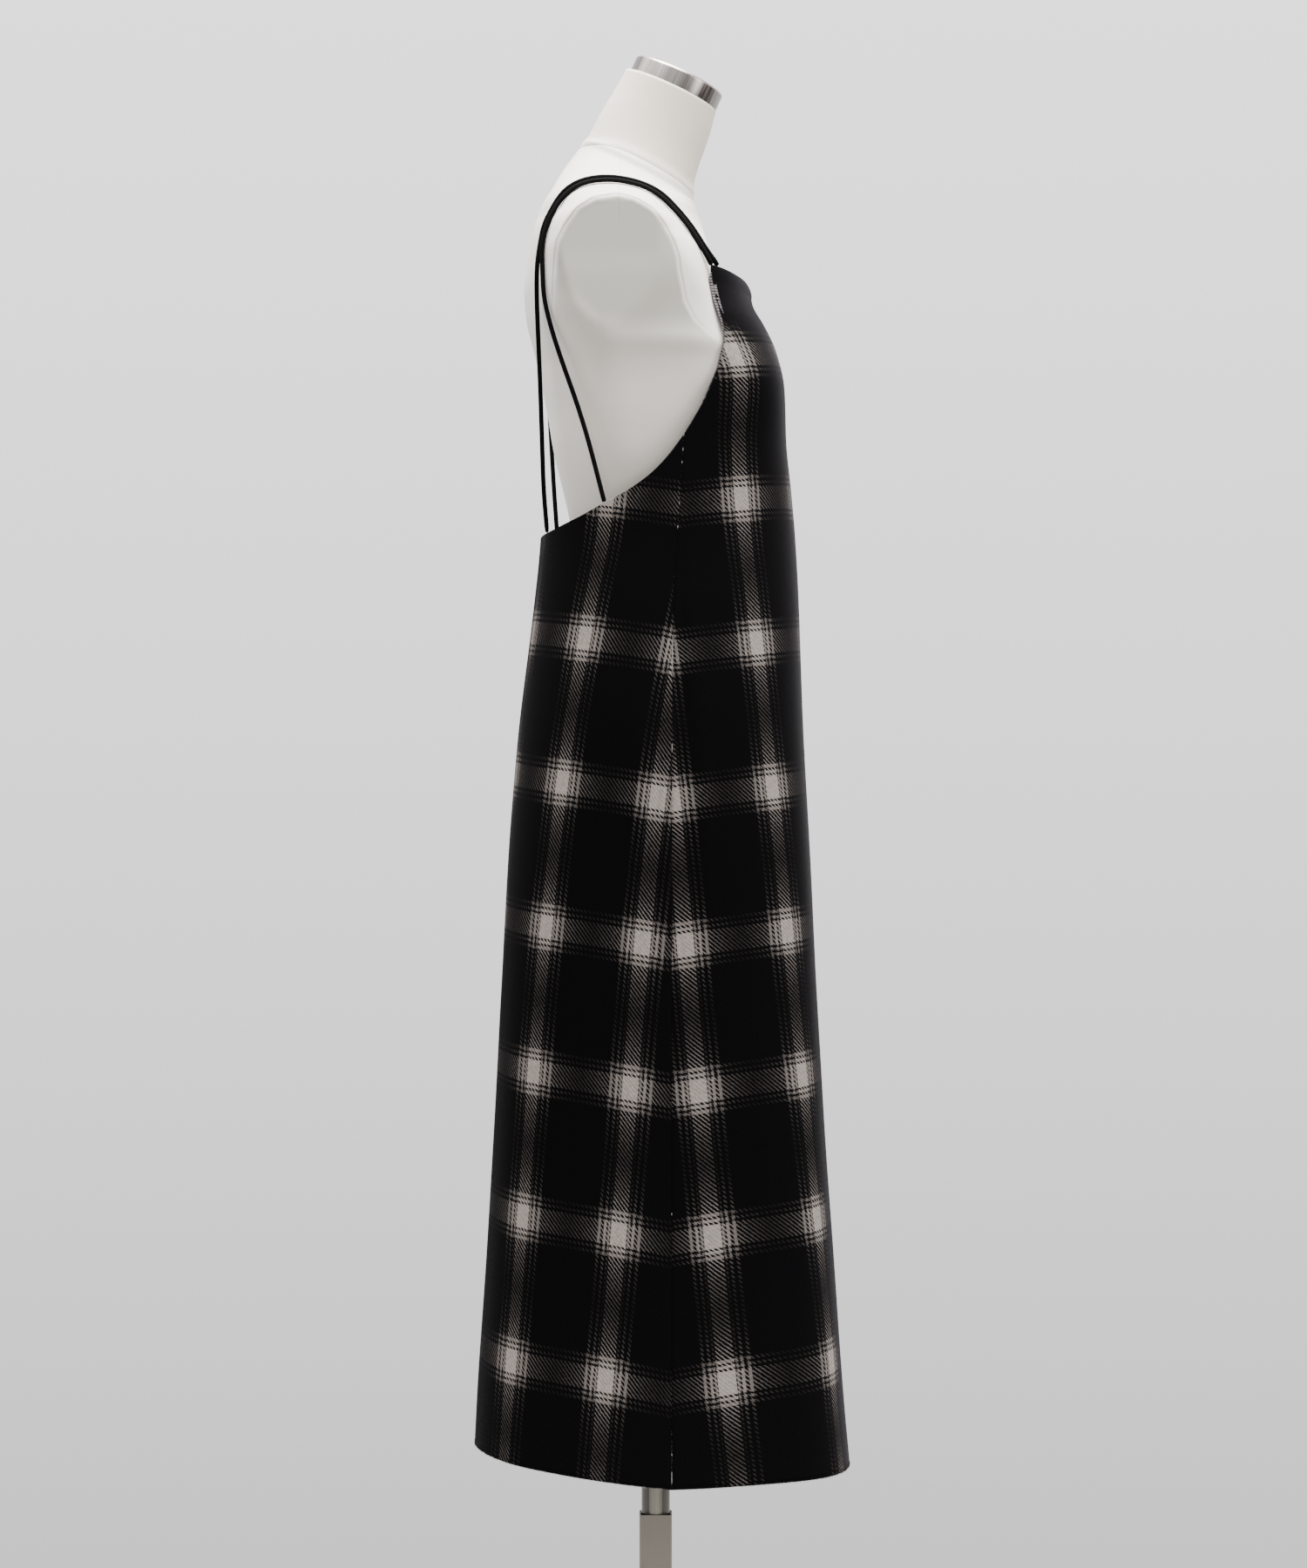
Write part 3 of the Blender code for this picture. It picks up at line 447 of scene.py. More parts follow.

# %% [markdown]
# The cloth also has finer creases than the solid: short soft troughs beside the side seams, a few
# drag lines under the armholes and slight waves above the hem. Each row is one crease, and no two
# have the same length, depth or spacing.

# %% Crease tables
FRONT_CREASES = Table("share drift width rise top bottom", (
    (-0.965, 0.010, 0.016, -1.5, 1150, 820),
    (-0.900, 0.035, 0.030, 1.1, 1120, 700),
    (-0.640, -0.020, 0.034, -0.9, 900, 380),
    (-0.330, 0.030, 0.050, 0.9, 820, 300),
    (-0.180, -0.015, 0.040, -0.8, 700, 300),
    (0.120, 0.020, 0.045, 0.8, 760, 290),
    (0.310, -0.025, 0.040, -1.0, 880, 330),
    (0.620, 0.020, 0.036, 0.9, 860, 300),
    (0.880, -0.030, 0.030, 1.2, 1100, 640),
    (0.955, -0.012, 0.018, -1.6, 1160, 760),
))
BACK_CREASES = Table("share drift width rise top bottom", (
    (-0.955, 0.020, 0.020, -2.2, 1120, 560),
    (-0.890, 0.045, 0.030, 1.2, 1090, 620),
    (-0.640, -0.020, 0.040, -0.9, 820, 340),
    (-0.280, 0.030, 0.050, 1.1, 900, 310),
    (0.170, -0.020, 0.045, -0.9, 760, 310),
    (0.380, 0.020, 0.040, 1.0, 840, 320),
    (0.650, -0.030, 0.036, -1.0, 800, 310),
    (0.905, -0.030, 0.028, 1.3, 1080, 700),
    (0.960, -0.016, 0.020, -2.0, 1130, 600),
))
print("creases:", len(FRONT_CREASES.rows) + len(BACK_CREASES.rows))

# %% [markdown]
# Every level section runs from the dress's middle line to its side seam. A place on the cloth is
# a share of that run and a height, so that folds, creases and edges can be told in the same terms.

# %% Level sections
class Sections:
    """Level sections of one half of the dress, from the middle line to the side seam."""

    STEP = 2.0
    SHARES = np.linspace(0.0, 1.0, 241)
    HEIGHTS = np.arange(236.0, 1410.5, STEP)

    def __init__(self, back):
        self.back = back
        value = {name: SECTION.read(name, "height", self.HEIGHTS) for name in SECTION.names[1:]}
        turn = np.linspace(0.0, math.pi / 2, 400)
        power = value["back_power" if back else "front_power"]
        reach = value["back" if back else "front"] - value["seam"]
        self.seams = value["seam"]
        across_rows, depth_rows, lengths = [], [], []
        for i in range(len(self.HEIGHTS)):
            across = value["half_width"][i] * np.sin(turn) ** (2 / power[i])
            depth = value["seam"][i] + reach[i] * np.cos(turn) ** (2 / power[i])
            run = run_along(np.stack((across, depth), axis=-1))
            across_rows.append(np.interp(self.SHARES * run[-1], run, across))
            depth_rows.append(np.interp(self.SHARES * run[-1], run, depth))
            lengths.append(run[-1])
        self.across, self.depth = np.array(across_rows), np.array(depth_rows)
        self.length = np.array(lengths)

    def read(self, table, share, height):
        """Value of a table between its rows and columns."""
        row = np.clip((height - self.HEIGHTS[0]) / self.STEP, 0, len(self.HEIGHTS) - 1.001)
        place = np.clip(np.abs(share), 0, 1) * (len(self.SHARES) - 1)
        place = np.minimum(place, len(self.SHARES) - 1.001)
        r, c = row.astype(int), place.astype(int)
        y, x = row - r, place - c
        low = table[r, c] * (1 - x) + table[r, c + 1] * x
        high = table[r + 1, c] * (1 - x) + table[r + 1, c + 1] * x
        return low * (1 - y) + high * y

    def place(self, share, height):
        """Across and depth of a place on the cloth."""
        share, height = np.broadcast_arrays(np.asarray(share, float), np.asarray(height, float))
        side = np.where(share < 0, -1.0, 1.0)
        return side * self.read(self.across, share, height), self.read(self.depth, share, height)

    def total(self, height):
        return np.interp(height, self.HEIGHTS, self.length)

    def seam(self, height):
        return np.interp(height, self.HEIGHTS, self.seams)

    def share_at_depth(self, depth_wanted, height):
        """The share whose depth is the one wanted, at one height."""
        depths = self.read(self.depth, self.SHARES, np.full(len(self.SHARES), float(height)))
        order = np.argsort(depths)
        return float(np.interp(depth_wanted, depths[order], self.SHARES[order]))


print("section levels:", len(Sections.HEIGHTS))

# %% [markdown]
# A fold or a crease pushes the cloth out or in along its own normal, most in its middle line.
# Moving points by sums keeps control over them, where a simulation would drift off the photograph.

# %% Folds
# A crease fades in over a third of its length, and out over a quarter of it just past its end.
CREASE_FADE_IN = 3
CREASE_FADE_OUT = 4
CREASE_END = 1.12
NORMAL_STEP = 0.004


def fold_rise(folds, creases, share, height):
    """How far the cloth stands out at each place, summed over its folds and creases."""
    rise = np.zeros(np.shape(share))
    for fold in folds.each():
        off = (share - fold["share"]) / fold["width"]
        grown = ease((fold["starts"] - height) / (fold["starts"] - fold["full"]))
        rise += fold["rise"] * grown * np.exp(-off * off)
    for crease in creases.each():
        along = (crease["top"] - height) / (crease["top"] - crease["bottom"])
        off = (share - crease["share"] - crease["drift"] * along) / crease["width"]
        swell = ease(along * CREASE_FADE_IN) * ease((CREASE_END - along) * CREASE_FADE_OUT)
        rise += crease["rise"] * swell * np.exp(-off * off)
    return rise


def folded_place(sections, folds, creases, share, height):
    """Points on the cloth's outer face, pushed out along its normals by its folds."""
    side = np.where(share < 0, -1.0, 1.0)
    high = np.minimum(np.abs(share) + NORMAL_STEP, 1.0)
    low = np.maximum(np.abs(share) - NORMAL_STEP, 0.0)
    x1, y1 = sections.place(side * high, height)
    x0, y0 = sections.place(side * low, height)
    run = np.hypot(x1 - x0, y1 - y0)
    turn = -side if sections.back else side
    out_x, out_y = (y1 - y0) / run * turn, -(x1 - x0) / run * turn
    at_seam = np.abs(share) > 1.0 - NORMAL_STEP
    out_x, out_y = np.where(at_seam, side, out_x), np.where(at_seam, 0.0, out_y)
    at_middle = np.abs(share) < NORMAL_STEP
    middle_y = 1.0 if sections.back else -1.0
    out_x, out_y = np.where(at_middle, 0.0, out_x), np.where(at_middle, middle_y, out_y)
    rise = fold_rise(folds, creases, share, height)
    x, y = sections.place(share, height)
    return np.stack((x + out_x * rise, y + out_y * rise, height), axis=-1)


print("folds:", len(FRONT_FOLDS.rows) + len(BACK_FOLDS.rows))

# %% [markdown]
# The front's columns fan out from the armholes, so that they follow the cloth's own straight
# grain. Its rows follow the upper edge at first, so that the edge stays crisp.

# %% Front grid
EDGE_ROWS = np.array((0.0, 0.8, 2.0, 3.5, 5.5, 8.0, 10.5, 13.0, 16.0, 20.0))
PANEL_COLUMNS = 144
FRONT_UPPER_ROWS = 36
LOWER_ROWS = 200


def front_grid(sections):
    """Shares and heights of the front's points, by column and row."""
    strap_share, strap_height = NECKLINE.rows[-1]
    rows = [(strap_height, strap_share)]
    rows += [(height, sections.share_at_depth(depth, height)) for height, depth in ARMHOLE.rows]
    rows.append((SEAM_TOP, 1.0))
    armhole = np.array(rows)
    shares, heights = [], []
    for part in np.linspace(-1, 1, PANEL_COLUMNS + 1):
        top = float(NECKLINE.read("height", "share", abs(part) * strap_share))
        hem = float(HEM.read("front", "share", abs(part)))
        down = top - EDGE_ROWS
        track = np.concatenate((down, np.linspace(down[-1], SEAM_TOP, FRONT_UPPER_ROWS + 1)[1:],
                                np.linspace(SEAM_TOP, hem, LOWER_ROWS + 1)[1:]))
        reach = np.where(track <= SEAM_TOP, 1.0, smooth(armhole[:, 0], armhole[:, 1], track))
        shares.append(part * reach)
        heights.append(track)
    return np.array(shares), np.array(heights)


print("points across a panel:", PANEL_COLUMNS + 1)

# %% [markdown]
# The back's upper edge is a deep curve, and its columns start evenly along it. Below the edge they
# spread to even shares of the width, so that the faces stay nearly square.

# %% Back grid
def back_grid(sections):
    """Shares and heights of the back's points, by column and row."""
    edge = [(0.0, BACK_EDGE.rows[0][1])]
    edge += [(sections.share_at_depth(depth, height), height) for depth, height in BACK_EDGE.rows[1:]]
    edge.append((1.0, SEAM_TOP))
    edge = np.array(edge)
    x, y = sections.place(edge[:, 0], edge[:, 1])
    run = run_along(np.stack((x, y, edge[:, 1]), axis=-1))
    shares, heights = [], []
    for part in np.linspace(-1, 1, PANEL_COLUMNS + 1):
        at = abs(part) * run[-1]
        top_share = float(smooth(run, edge[:, 0], at))
        top = float(smooth(run, edge[:, 1], at))
        hem = float(HEM.read("back", "share", abs(part)))
        down = top - EDGE_ROWS
        track = np.concatenate((down, np.linspace(down[-1], hem, LOWER_ROWS + 1)[1:]))
        blend = ease(BACK_COLUMN_SPREAD * (top - track) / (top - hem))
        side = -1.0 if part < 0 else 1.0
        shares.append(side * (top_share + (abs(part) - top_share) * blend))
        heights.append(track)
    return np.array(shares), np.array(heights)


def outward_normals(grid, outward_depth):
    """Normals of the grid's points. Along the side seams they lie level, to the side."""
    normals = np.cross(np.gradient(grid, axis=0), np.gradient(grid, axis=1))
    normals /= np.linalg.norm(normals, axis=2, keepdims=True)
    if normals[grid.shape[0] // 2, grid.shape[1] // 2, 1] * outward_depth < 0:
        normals = -normals
    for edge in (0, -1):
        normals[edge, :, 1] = 0.0
        normals[edge] /= np.linalg.norm(normals[edge], axis=1, keepdims=True)
    return normals


print("points down the back:", len(EDGE_ROWS) + LOWER_ROWS)

# %% [markdown]
# The plaid hangs with the cloth. Its columns keep their distance from the middle line, and its
# bands dip towards the side seams because the skirt flares. A short table and two sizes hold how far
# the columns stray from that, as they do on the real dress.

# %% Cloth coordinates
COLUMN_STRAY = Table("height front", ((385, 17.0), (517, 10.4), (650, 4.8), (783, 0.0), (918, -3.0),
                                      (1050, -4.6), (1186, -3.5), (1323, -3.5)))
BACK_SECOND_COLUMN_STRAY = -7.0
BACK_THIRD_COLUMN_STRAY = 1.0
FRONT_DIP = 18.75
BACK_DIP = 23.0


def cloth_coordinates(sections, share, height):
    """U across and V up the cloth, in millimetres. U grows to the right, seen from outside."""
    off = np.abs(share) * sections.total(height)
    second, third = 1.5 * COLUMN_REPEAT, 2.5 * COLUMN_REPEAT
    if sections.back:
        strays = (0, BACK_SECOND_COLUMN_STRAY, BACK_THIRD_COLUMN_STRAY)
        stray = np.interp(off, (0, second, third), strays)
        dip, facing = BACK_DIP, -1.0
    else:
        most = np.interp(height, COLUMN_STRAY.column("height"), COLUMN_STRAY.column("front"))
        stray = most * np.interp(off, (0, second, third), (0, 1, 0))
        dip, facing = FRONT_DIP, 1.0
    side = np.where(share < 0, -1.0, 1.0)
    return facing * side * (off + stray), height + dip * (off / third) ** 2


print("bands dip", FRONT_DIP, "and", BACK_DIP, "mm at the sides")

# %% [markdown]
# The neckline's edge is turned in, so the cloth stands out there as a soft roll. Each half of
# the dress stops a hair short of the side seam, and Solidify then gives it its wall.

# %% Panels
def make_panel(name, back, material):
    sections = Sections(back)
    shares, heights = (back_grid if back else front_grid)(sections)
    folds, creases = (BACK_FOLDS, BACK_CREASES) if back else (FRONT_FOLDS, FRONT_CREASES)
    grid = folded_place(sections, folds, creases, shares, heights)
    normals = outward_normals(grid, 1.0 if back else -1.0)
    if not back:
        parts = np.abs(np.linspace(-1, 1, PANEL_COLUMNS + 1))
        spread = ROLL_AT_STRAP + (1 - ROLL_AT_STRAP) * (1 - ease(parts * ROLL_FADE))
        proud = spread[:, None] * ROLL.read("proud", "below", EDGE_ROWS)[None, :]
        grid[:, :len(EDGE_ROWS)] += normals[:, :len(EDGE_ROWS)] * proud[..., None]
    seams = sections.seam(grid[..., 2])
    if back:
        grid[..., 1] = np.maximum(grid[..., 1], seams + SEAM_GAP / 2)
    else:
        grid[..., 1] = np.minimum(grid[..., 1], seams - SEAM_GAP / 2)
    columns, rows = shares.shape
    panel = new_piece(name, grid.reshape(-1, 3), quads(columns, rows, flip=back), material, "form")
    lay_cloth_map(panel, np.stack(cloth_coordinates(sections, shares, heights), axis=-1))
    area = sum(face.area for face in panel.data.polygons)
    give_wall(panel, CLOTH_WALL)
    print(name, "area", round(area, 4), "m2,", len(panel.data.polygons), "faces")
    return panel, grid, area


front_cloth, front_points, front_area = make_panel("front_cloth", False, front_velour)
back_cloth, back_points, back_area = make_panel("back_cloth", True, back_velour)
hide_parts("front_panel")
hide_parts("back_panel")

# %% [markdown]
# ## Edges and seams
# The cut edges of velour shed a short fringe of pile, which shows against a pale backdrop along
# the hem and the armholes. It is made of small blades, all in one mesh for each edge.

# %% Pile blades
BLADE_SPACING = 1.1
BLADE_LENGTH = 1.5
BLADE_WIDTH = 0.35
BLADE_ROOT = 0.5
BLADE_LEAN = 0.5
BLADE_STRAY = 0.3
BLADE_SHORTEST = 0.35


def edge_run(points, spacing):
    """Places and directions at an even spacing along a line of points."""
    run = run_along(points)
    at = np.arange(spacing / 2, run[-1], spacing)
    places, ahead, behind = [
        np.stack([np.interp(at + step, run, points[:, axis]) for axis in range(3)], axis=-1)
        for step in (0, 1, -1)]
    along = ahead - behind
    return places, along / np.linalg.norm(along, axis=1, keepdims=True)


def make_pile(name, points, outward, material, seed):
    """A fringe of three-sided blades that stand off an edge."""
    draw = random.Random(seed)
    places, along = edge_run(points, BLADE_SPACING)
    corners, faces = [], []
    for place, tangent in zip(places, along):
        lean = tangent * draw.uniform(-BLADE_LEAN, BLADE_LEAN)
        stray = np.array([draw.uniform(-BLADE_STRAY, BLADE_STRAY) for _ in range(3)])
        out = outward(place) + lean + stray
        out /= np.linalg.norm(out)
        side = np.cross(out, tangent)
        side /= np.linalg.norm(side)
        root = place - out * BLADE_ROOT
        tip = place + out * BLADE_LENGTH * draw.uniform(BLADE_SHORTEST, 1.0)
        first = len(corners)
        heel = root - tangent * BLADE_WIDTH / 2
        corners += [root + tangent * BLADE_WIDTH, heel + side * BLADE_WIDTH,
                    heel - side * BLADE_WIDTH, tip]
        faces += [(first, first + 2, first + 1), (first, first + 1, first + 3),
                  (first + 1, first + 2, first + 3), (first + 2, first, first + 3)]
    new_piece(name, corners, faces, material, "form")


print("blades:", BLADE_LENGTH, "mm long,", BLADE_SPACING, "mm apart")

# %% [markdown]
# The fringe takes its grey from the light and dark yarns in the cut edge. At the hem the blades
# point down, and at the armholes back and up, away from the front panel's edge.

# %% Pile along the edges
ARMHOLE_LEAN_TOP = 1320.0

pile_material, pile_shader, add = new_material(
    "velour pile fibres", Roughness=0.9, Specular_IOR_Level=0.1, Sheen_Weight=0.3, Sheen_Roughness=0.4)
pile_noise = add("TexNoise", {"Vector": add("TexCoord", out="Object"), "Scale": 160.0, "Detail": 2.0})
set_sockets(pile_shader, {"Base Color": add("Mix RGBA", {
    "Factor": add("MapRange", (pile_noise, 0.52, 0.68)),
    "A": linear("#1a171b"), "B": linear("#8a817f")})})


def downwards(place):
    return np.array((0.0, 0.0, -1.0))


def into_armhole(place):
    """Back and up, away from the front panel's edge."""
    return np.array((0.0, 0.55, 0.35 if place[2] < ARMHOLE_LEAN_TOP else 0.0))


armhole_rows = front_points[0, :, 2] > SEAM_TOP
for name, points, outward, seed in (
        ("hem_pile_front", front_points[:, -1], downwards, 3),
        ("hem_pile_back", back_points[:, -1], downwards, 5),
        ("armhole_pile_right", front_points[0, armhole_rows], into_armhole, 7),
        ("armhole_pile_left", front_points[-1, armhole_rows], into_armhole, 9)):
    make_pile(name, points, outward, pile_material, seed)
print("pile along the hem and the armholes")

# %% [markdown]
# At the armholes the cloth is turned in over a light woven tape, whose edge shows past the front
# panel as a narrow grey strip with dark stitches. It is widest near the strap and then runs out.

# %% Armhole tape
TAPE = Table("height width", ((1262, 0.6), (1300, 1.0), (1340, 1.4), (1356, 2.4), (1370, 3.4),
                              (1388, 3.6), (1394, 1.5)))
TAPE_UNDER = 3.0
TAPE_DEEP = 0.7
TAPE_WALL = 0.5
TAPE_STITCH = 2.7
TAPE_WOBBLE = 2.2
TAPE_STEP = 1.5
TAPE_POINTS = 5

tape_material, tape_shader, add = new_material(
    "woven twill tape with dark stitches", Roughness=0.85, Specular_IOR_Level=0.1)
tape_place = add("UVMap", uv_map="cloth")
tape_noise = add("TexNoise", {"Vector": tape_place, "Scale": 520.0, "Detail": 2.0})
tape_up = add("SeparateXYZ", (tape_place,), out="Y")
tape_along = add("Math MULTIPLY_ADD", (tape_noise, TAPE_WOBBLE * MM, tape_up))
tape_wave = add("Math SINE", (add("Math DIVIDE", (tape_along, TAPE_STITCH * MM / (2 * math.pi))),))
set_sockets(tape_shader, {"Base Color": add("Mix RGBA", {
    "Factor": add("MapRange SMOOTHSTEP", (tape_wave, 0.1, 0.7)),
    "A": linear("#6c6766"), "B": linear("#1d1b1d")})})


def make_tape(name, side):
    """A strip that starts under the front panel's armhole edge and shows past it."""
    sections = Sections(False)
    points, cloth = [], []
    heights = np.arange(TAPE.rows[0][0], TAPE.rows[-1][0] + 0.1, TAPE_STEP)
    for height in heights:
        depth = float(ARMHOLE.read("depth", "height", height))
        width = float(TAPE.read("width", "height", height))
        for part in np.linspace(-TAPE_UNDER, width, TAPE_POINTS):
            share = sections.share_at_depth(depth + part, height)
            x, y = sections.place(share, height)
            points.append((side * (float(x) - TAPE_DEEP), float(y), height))
            cloth.append((part, height))
    faces = quads(len(heights), TAPE_POINTS, flip=side > 0)
    tape = new_piece(name, points, faces, tape_material, "form")
    lay_cloth_map(tape, cloth)
    give_wall(tape, TAPE_WALL)


for name, side in (("armhole_tape_right", -1), ("armhole_tape_left", 1)):
    make_tape(name, side)
print("armhole tapes made")

# %% [markdown]
# The side seams are deep ditches in the pile. Here and there a light stitch or a bit of light
# yarn shows in them. The longest is a pulled yarn at the height of the seat.

# %% Flecks in the side seams
FLECKS = Table("height length", (
    (1242, 2.4), (1229, 3.4), (1217, 2.6), (1179, 3.6), (1157, 3.2), (1039, 36.0), (953, 8.0),
    (526, 2.8), (307, 2.6), (286, 12.0)))
FLECK_WIDTH = 0.42
FLECK_SIDES = 6

fleck_material, fleck_shader, add = new_material("pulled light yarn", Roughness=0.9)
fleck_noise = add("TexNoise", {"Vector": add("TexCoord", out="Object"), "Scale": 300.0})
set_sockets(fleck_shader, {"Base Color": add("Mix RGBA", {
    "Factor": fleck_noise, "A": linear("#4a4746"), "B": linear("#a8a09b")})})


def make_flecks(name, seam_line):
    """Short spindles of yarn that follow the seam."""
    line = seam_line[np.argsort(seam_line[:, 2])]
    corners, faces = [], []
    for fleck in FLECKS.each():
        count = max(3, round(fleck["length"] / 2) + 1)
        first = len(corners)
        for part in np.linspace(-0.5, 0.5, count):
            height = fleck["height"] + part * fleck["length"]
            x = np.interp(height, line[:, 2], line[:, 0])
            y = np.interp(height, line[:, 2], line[:, 1]) + SEAM_GAP / 2
            radius = FLECK_WIDTH * (1 - (2 * part) ** 4 * 0.8)
            for turn in range(FLECK_SIDES):
                angle = 2 * math.pi * turn / FLECK_SIDES
                corners.append((x + radius * math.cos(angle), y + radius * math.sin(angle), height))
        faces += quads(count, FLECK_SIDES, first, around=True)
        faces.append(tuple(range(first, first + FLECK_SIDES))[::-1])
        faces.append(tuple(range(len(corners) - FLECK_SIDES, len(corners))))
    new_piece(name, corners, faces, fleck_material, "form")


make_flecks("seam_flecks_right", front_points[0])
make_flecks("seam_flecks_left", front_points[-1])
print("seam flecks:", 2 * len(FLECKS.rows))

# %% [markdown]
# ## Cords
# Each strap is a pair of thin round cords, tightly braided of matte black yarn. The solid cords
# already lie in nearly the right place, so a finer round copy of each one is enough: its doubled
# points are merged, and one level of subdivision rounds it. Braid is a little fuller than the
# plain cord, so the copy is swelled slightly, and over the shoulder it lies a little higher.

# %% Braided cord
cord_material, cord_shader, add = new_material(
    "braided polyester cord", Roughness=0.8, Specular_IOR_Level=0.06)
cord_wave = add("TexWave", {"Vector": add("TexCoord", out="Object"), "Scale": 170.0,
                            "Distortion": 1.2, "Detail": 1.0, "Detail Scale": 2.0},
                out="Fac", bands_direction="DIAGONAL")
set_sockets(cord_shader, {
    "Base Color": add("Mix RGBA", {
        "Factor": cord_wave, "A": linear("#030303"), "B": linear("#0d0c0e")}),
    "Normal": add("Bump", {"Strength": 0.5, "Distance": 0.2 * MM, "Height": cord_wave})})
print("cord finish made")

# %% [markdown]
# The braid's strands are about a millimetre wide and barely show, so the finish above only hints
# at them. The shape below matters more, because the thin pair crosses the pale form.

# %% Cords
CORD_NODES = ("cord_right_inner", "cord_right_outer", "cord_left_inner", "cord_left_outer")
CORD_SWELL = 0.5
MERGE_DISTANCE = 0.01
# Lift over the shoulder, away from the shoulder's middle as depth and height. It grows over a
# stretch of height. The roots reach down to the neckline.
INNER_CORD_LIFT = 1.1
OUTER_CORD_LIFT = 0.2
SHOULDER_MIDDLE = (34.0, 1380.0)
LIFT_STARTS = 1392.0
LIFT_LENGTH = 30.0
ROOT_BEHIND = -44.0
ROOT_HEIGHT = 1409.0
ROOT_LENGTH = 7.0
ROOT_REACH = 1.1


def fill_out_cord(cord, lift):
    """Swell the cord, lift it over the shoulder and bring its root down to the neckline."""
    for vertex in cord.data.vertices:
        vertex.co += vertex.normal * CORD_SWELL * MM
    for vertex in cord.data.vertices:
        depth, height = vertex.co.y / MM, vertex.co.z / MM
        away = Vector((0, depth - SHOULDER_MIDDLE[0], height - SHOULDER_MIDDLE[1])).normalized()
        vertex.co += away * lift * float(ease((height - LIFT_STARTS) / LIFT_LENGTH)) * MM
        if depth < ROOT_BEHIND:
            vertex.co.z -= ROOT_REACH * float(ease((ROOT_HEIGHT - height) / ROOT_LENGTH)) * MM


def merged_copy(node, name, material, body):
    """A copy of a frame node with its doubled points merged."""
    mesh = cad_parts[node].data.copy()
    mesh.name = name
    copy = bpy.data.objects.new(name, mesh)
    bpy.context.scene.collection.objects.link(copy)
    only(copy)
    bpy.ops.object.mode_set(mode="EDIT")
    bpy.ops.mesh.select_all(action="SELECT")
    bpy.ops.mesh.remove_doubles(threshold=MERGE_DISTANCE * MM)
    bpy.ops.mesh.tris_convert_to_quads()
    bpy.ops.mesh.select_all(action="DESELECT")
    bpy.ops.object.mode_set(mode="OBJECT")
    mesh.materials.clear()
    mesh.materials.append(material)
    mesh.shade_smooth()
    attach(copy, body)
    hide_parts(node)
    return copy


for node in CORD_NODES:
    cord = merged_copy(node, node.replace("cord", "strap_cord"), cord_material, "form")
    rounding = cord.modifiers.new("rounding", "SUBSURF")
    rounding.levels = 1
    rounding.render_levels = 1
    apply_modifiers(cord)
    fill_out_cord(cord, INNER_CORD_LIFT if "inner" in node else OUTER_CORD_LIFT)
print("cords:", len(CORD_NODES))

# %% [markdown]
# ## Dress form
# The form is a light shell of moulded fibre with a tight off-white cover. Its arms end in flat
# caps with a soft rim, and a stretch cover on the neck ends in a thin rolled edge. The surface
# here goes through the same sections as the solid, with many more rings, and the caps are made
# by pressing it softly against a plane at each side.

# %% Form tables
RIDGE_DEPTH = 35.0
FORM = Table("height slope front back middle width_front width_back front_power back_power", (
    (780, 0.0, -58, 78, 8, 122, 122, 2.2, 2.2),
    (784, 0.0, -66, 87, 8, 133, 133, 2.2, 2.2),
    (795, 0.0, -76, 98, 8, 145, 145, 2.2, 2.2),
    (830, 0.0, -88, 112, 8, 158, 158, 2.2, 2.2),
    (880, 0.0, -95, 119, 8, 165, 165, 2.2, 2.2),
    (930, 0.0, -98, 113, 6, 163, 163, 2.2, 2.2),
    (990, 0.0, -95, 96, 2, 151, 151, 2.2, 2.2),
    (1060, 0.0, -86, 78, 0, 130, 130, 2.2, 2.2),
    (1125, 0.0, -78, 74, 0, 117, 117, 2.2, 2.2),
    (1180, 0.0, -86, 84, 3, 122, 122, 2.3, 2.2),
    (1240, 0.0, -97, 98, 10, 136, 140, 2.4, 2.2),
    (1270, 0.0, -102, 103, 15, 146, 152, 2.5, 2.1),
    (1295, 0.0, -102, 108, 20, 156, 162, 2.7, 2.0),
    (1315, 0.0, -98, 112, 24, 167, 175, 2.6, 1.85),
    (1335, 0.0, -88, 117, 28, 183, 202, 2.5, 1.7),
    (1365, 0.0, -71, 124, 33, 178, 240, 3.0, 1.55),
    (1392, 0.0, -58, 126, 35, 175, 250, 3.7, 1.53),
    (1415, 0.0, -53.5, 123, 35, 176, 250, 3.2, 1.62),
    (1432, 0.0, -50.5, 120.5, 35, 188, 238, 2.2, 1.66),
    (1445, 0.0, -47, 118, 35, 205, 222, 1.65, 1.68),
    (1455, 0.0, -44, 115, 35, 192, 197, 1.5, 1.7),
    (1463, 0.02, -41, 111, 35, 168, 168, 1.6, 2.0),
    (1470, 0.05, -39.5, 107, 35, 149, 149, 1.7, 2.15),
    (1477, 0.09, -38, 101, 35, 130, 130, 1.75, 2.2),
    (1485.5, 0.15, -37, 95, 32, 107, 107, 1.8, 2.1),
    (1493, 0.29, -36.5, 87, 27, 86, 86, 1.9, 2.0),
    (1502, 0.39, -36, 79, 22, 68, 68, 2.0, 2.0),
    (1511.8, 0.497, -36, 71, 17.5, 57.5, 57.5, 2.0, 2.0),
    (1517, 0.50, -36.3, 69, 16.4, 56.3, 56.3, 2.0, 2.0),
    (1523, 0.50, -36.2, 65.3, 14.5, 53, 53, 2.0, 2.0),
    (1547, 0.48, -41, 55.2, 7, 48, 48, 2.0, 2.0),
    (1565.5, 0.467, -47, 47, 0, 46.5, 46.5, 2.0, 2.0),
    (1585, 0.46, -52.7, 37.7, -7.5, 46, 46, 2.0, 2.0),
    (1606, 0.46, -57.5, 28.5, -14.5, 46, 46, 2.0, 2.0),
))
print("form rings in the table:", len(FORM.rows))

# %% [markdown]
# A few sizes shape what the rings alone don't: the bust, the pressed arm caps with their groove,
# and the rolled edge of the neck's cover.

# %% Form sizes
ARM_PLATE_X = 168.0
BUST_X = 84.0
BUST_HEIGHT = 1288.0
BUST_RISE = 22.5
BUST_RADIUS = 46.0
FORM_POINTS = 208
FORM_RING_STEP = 3.2
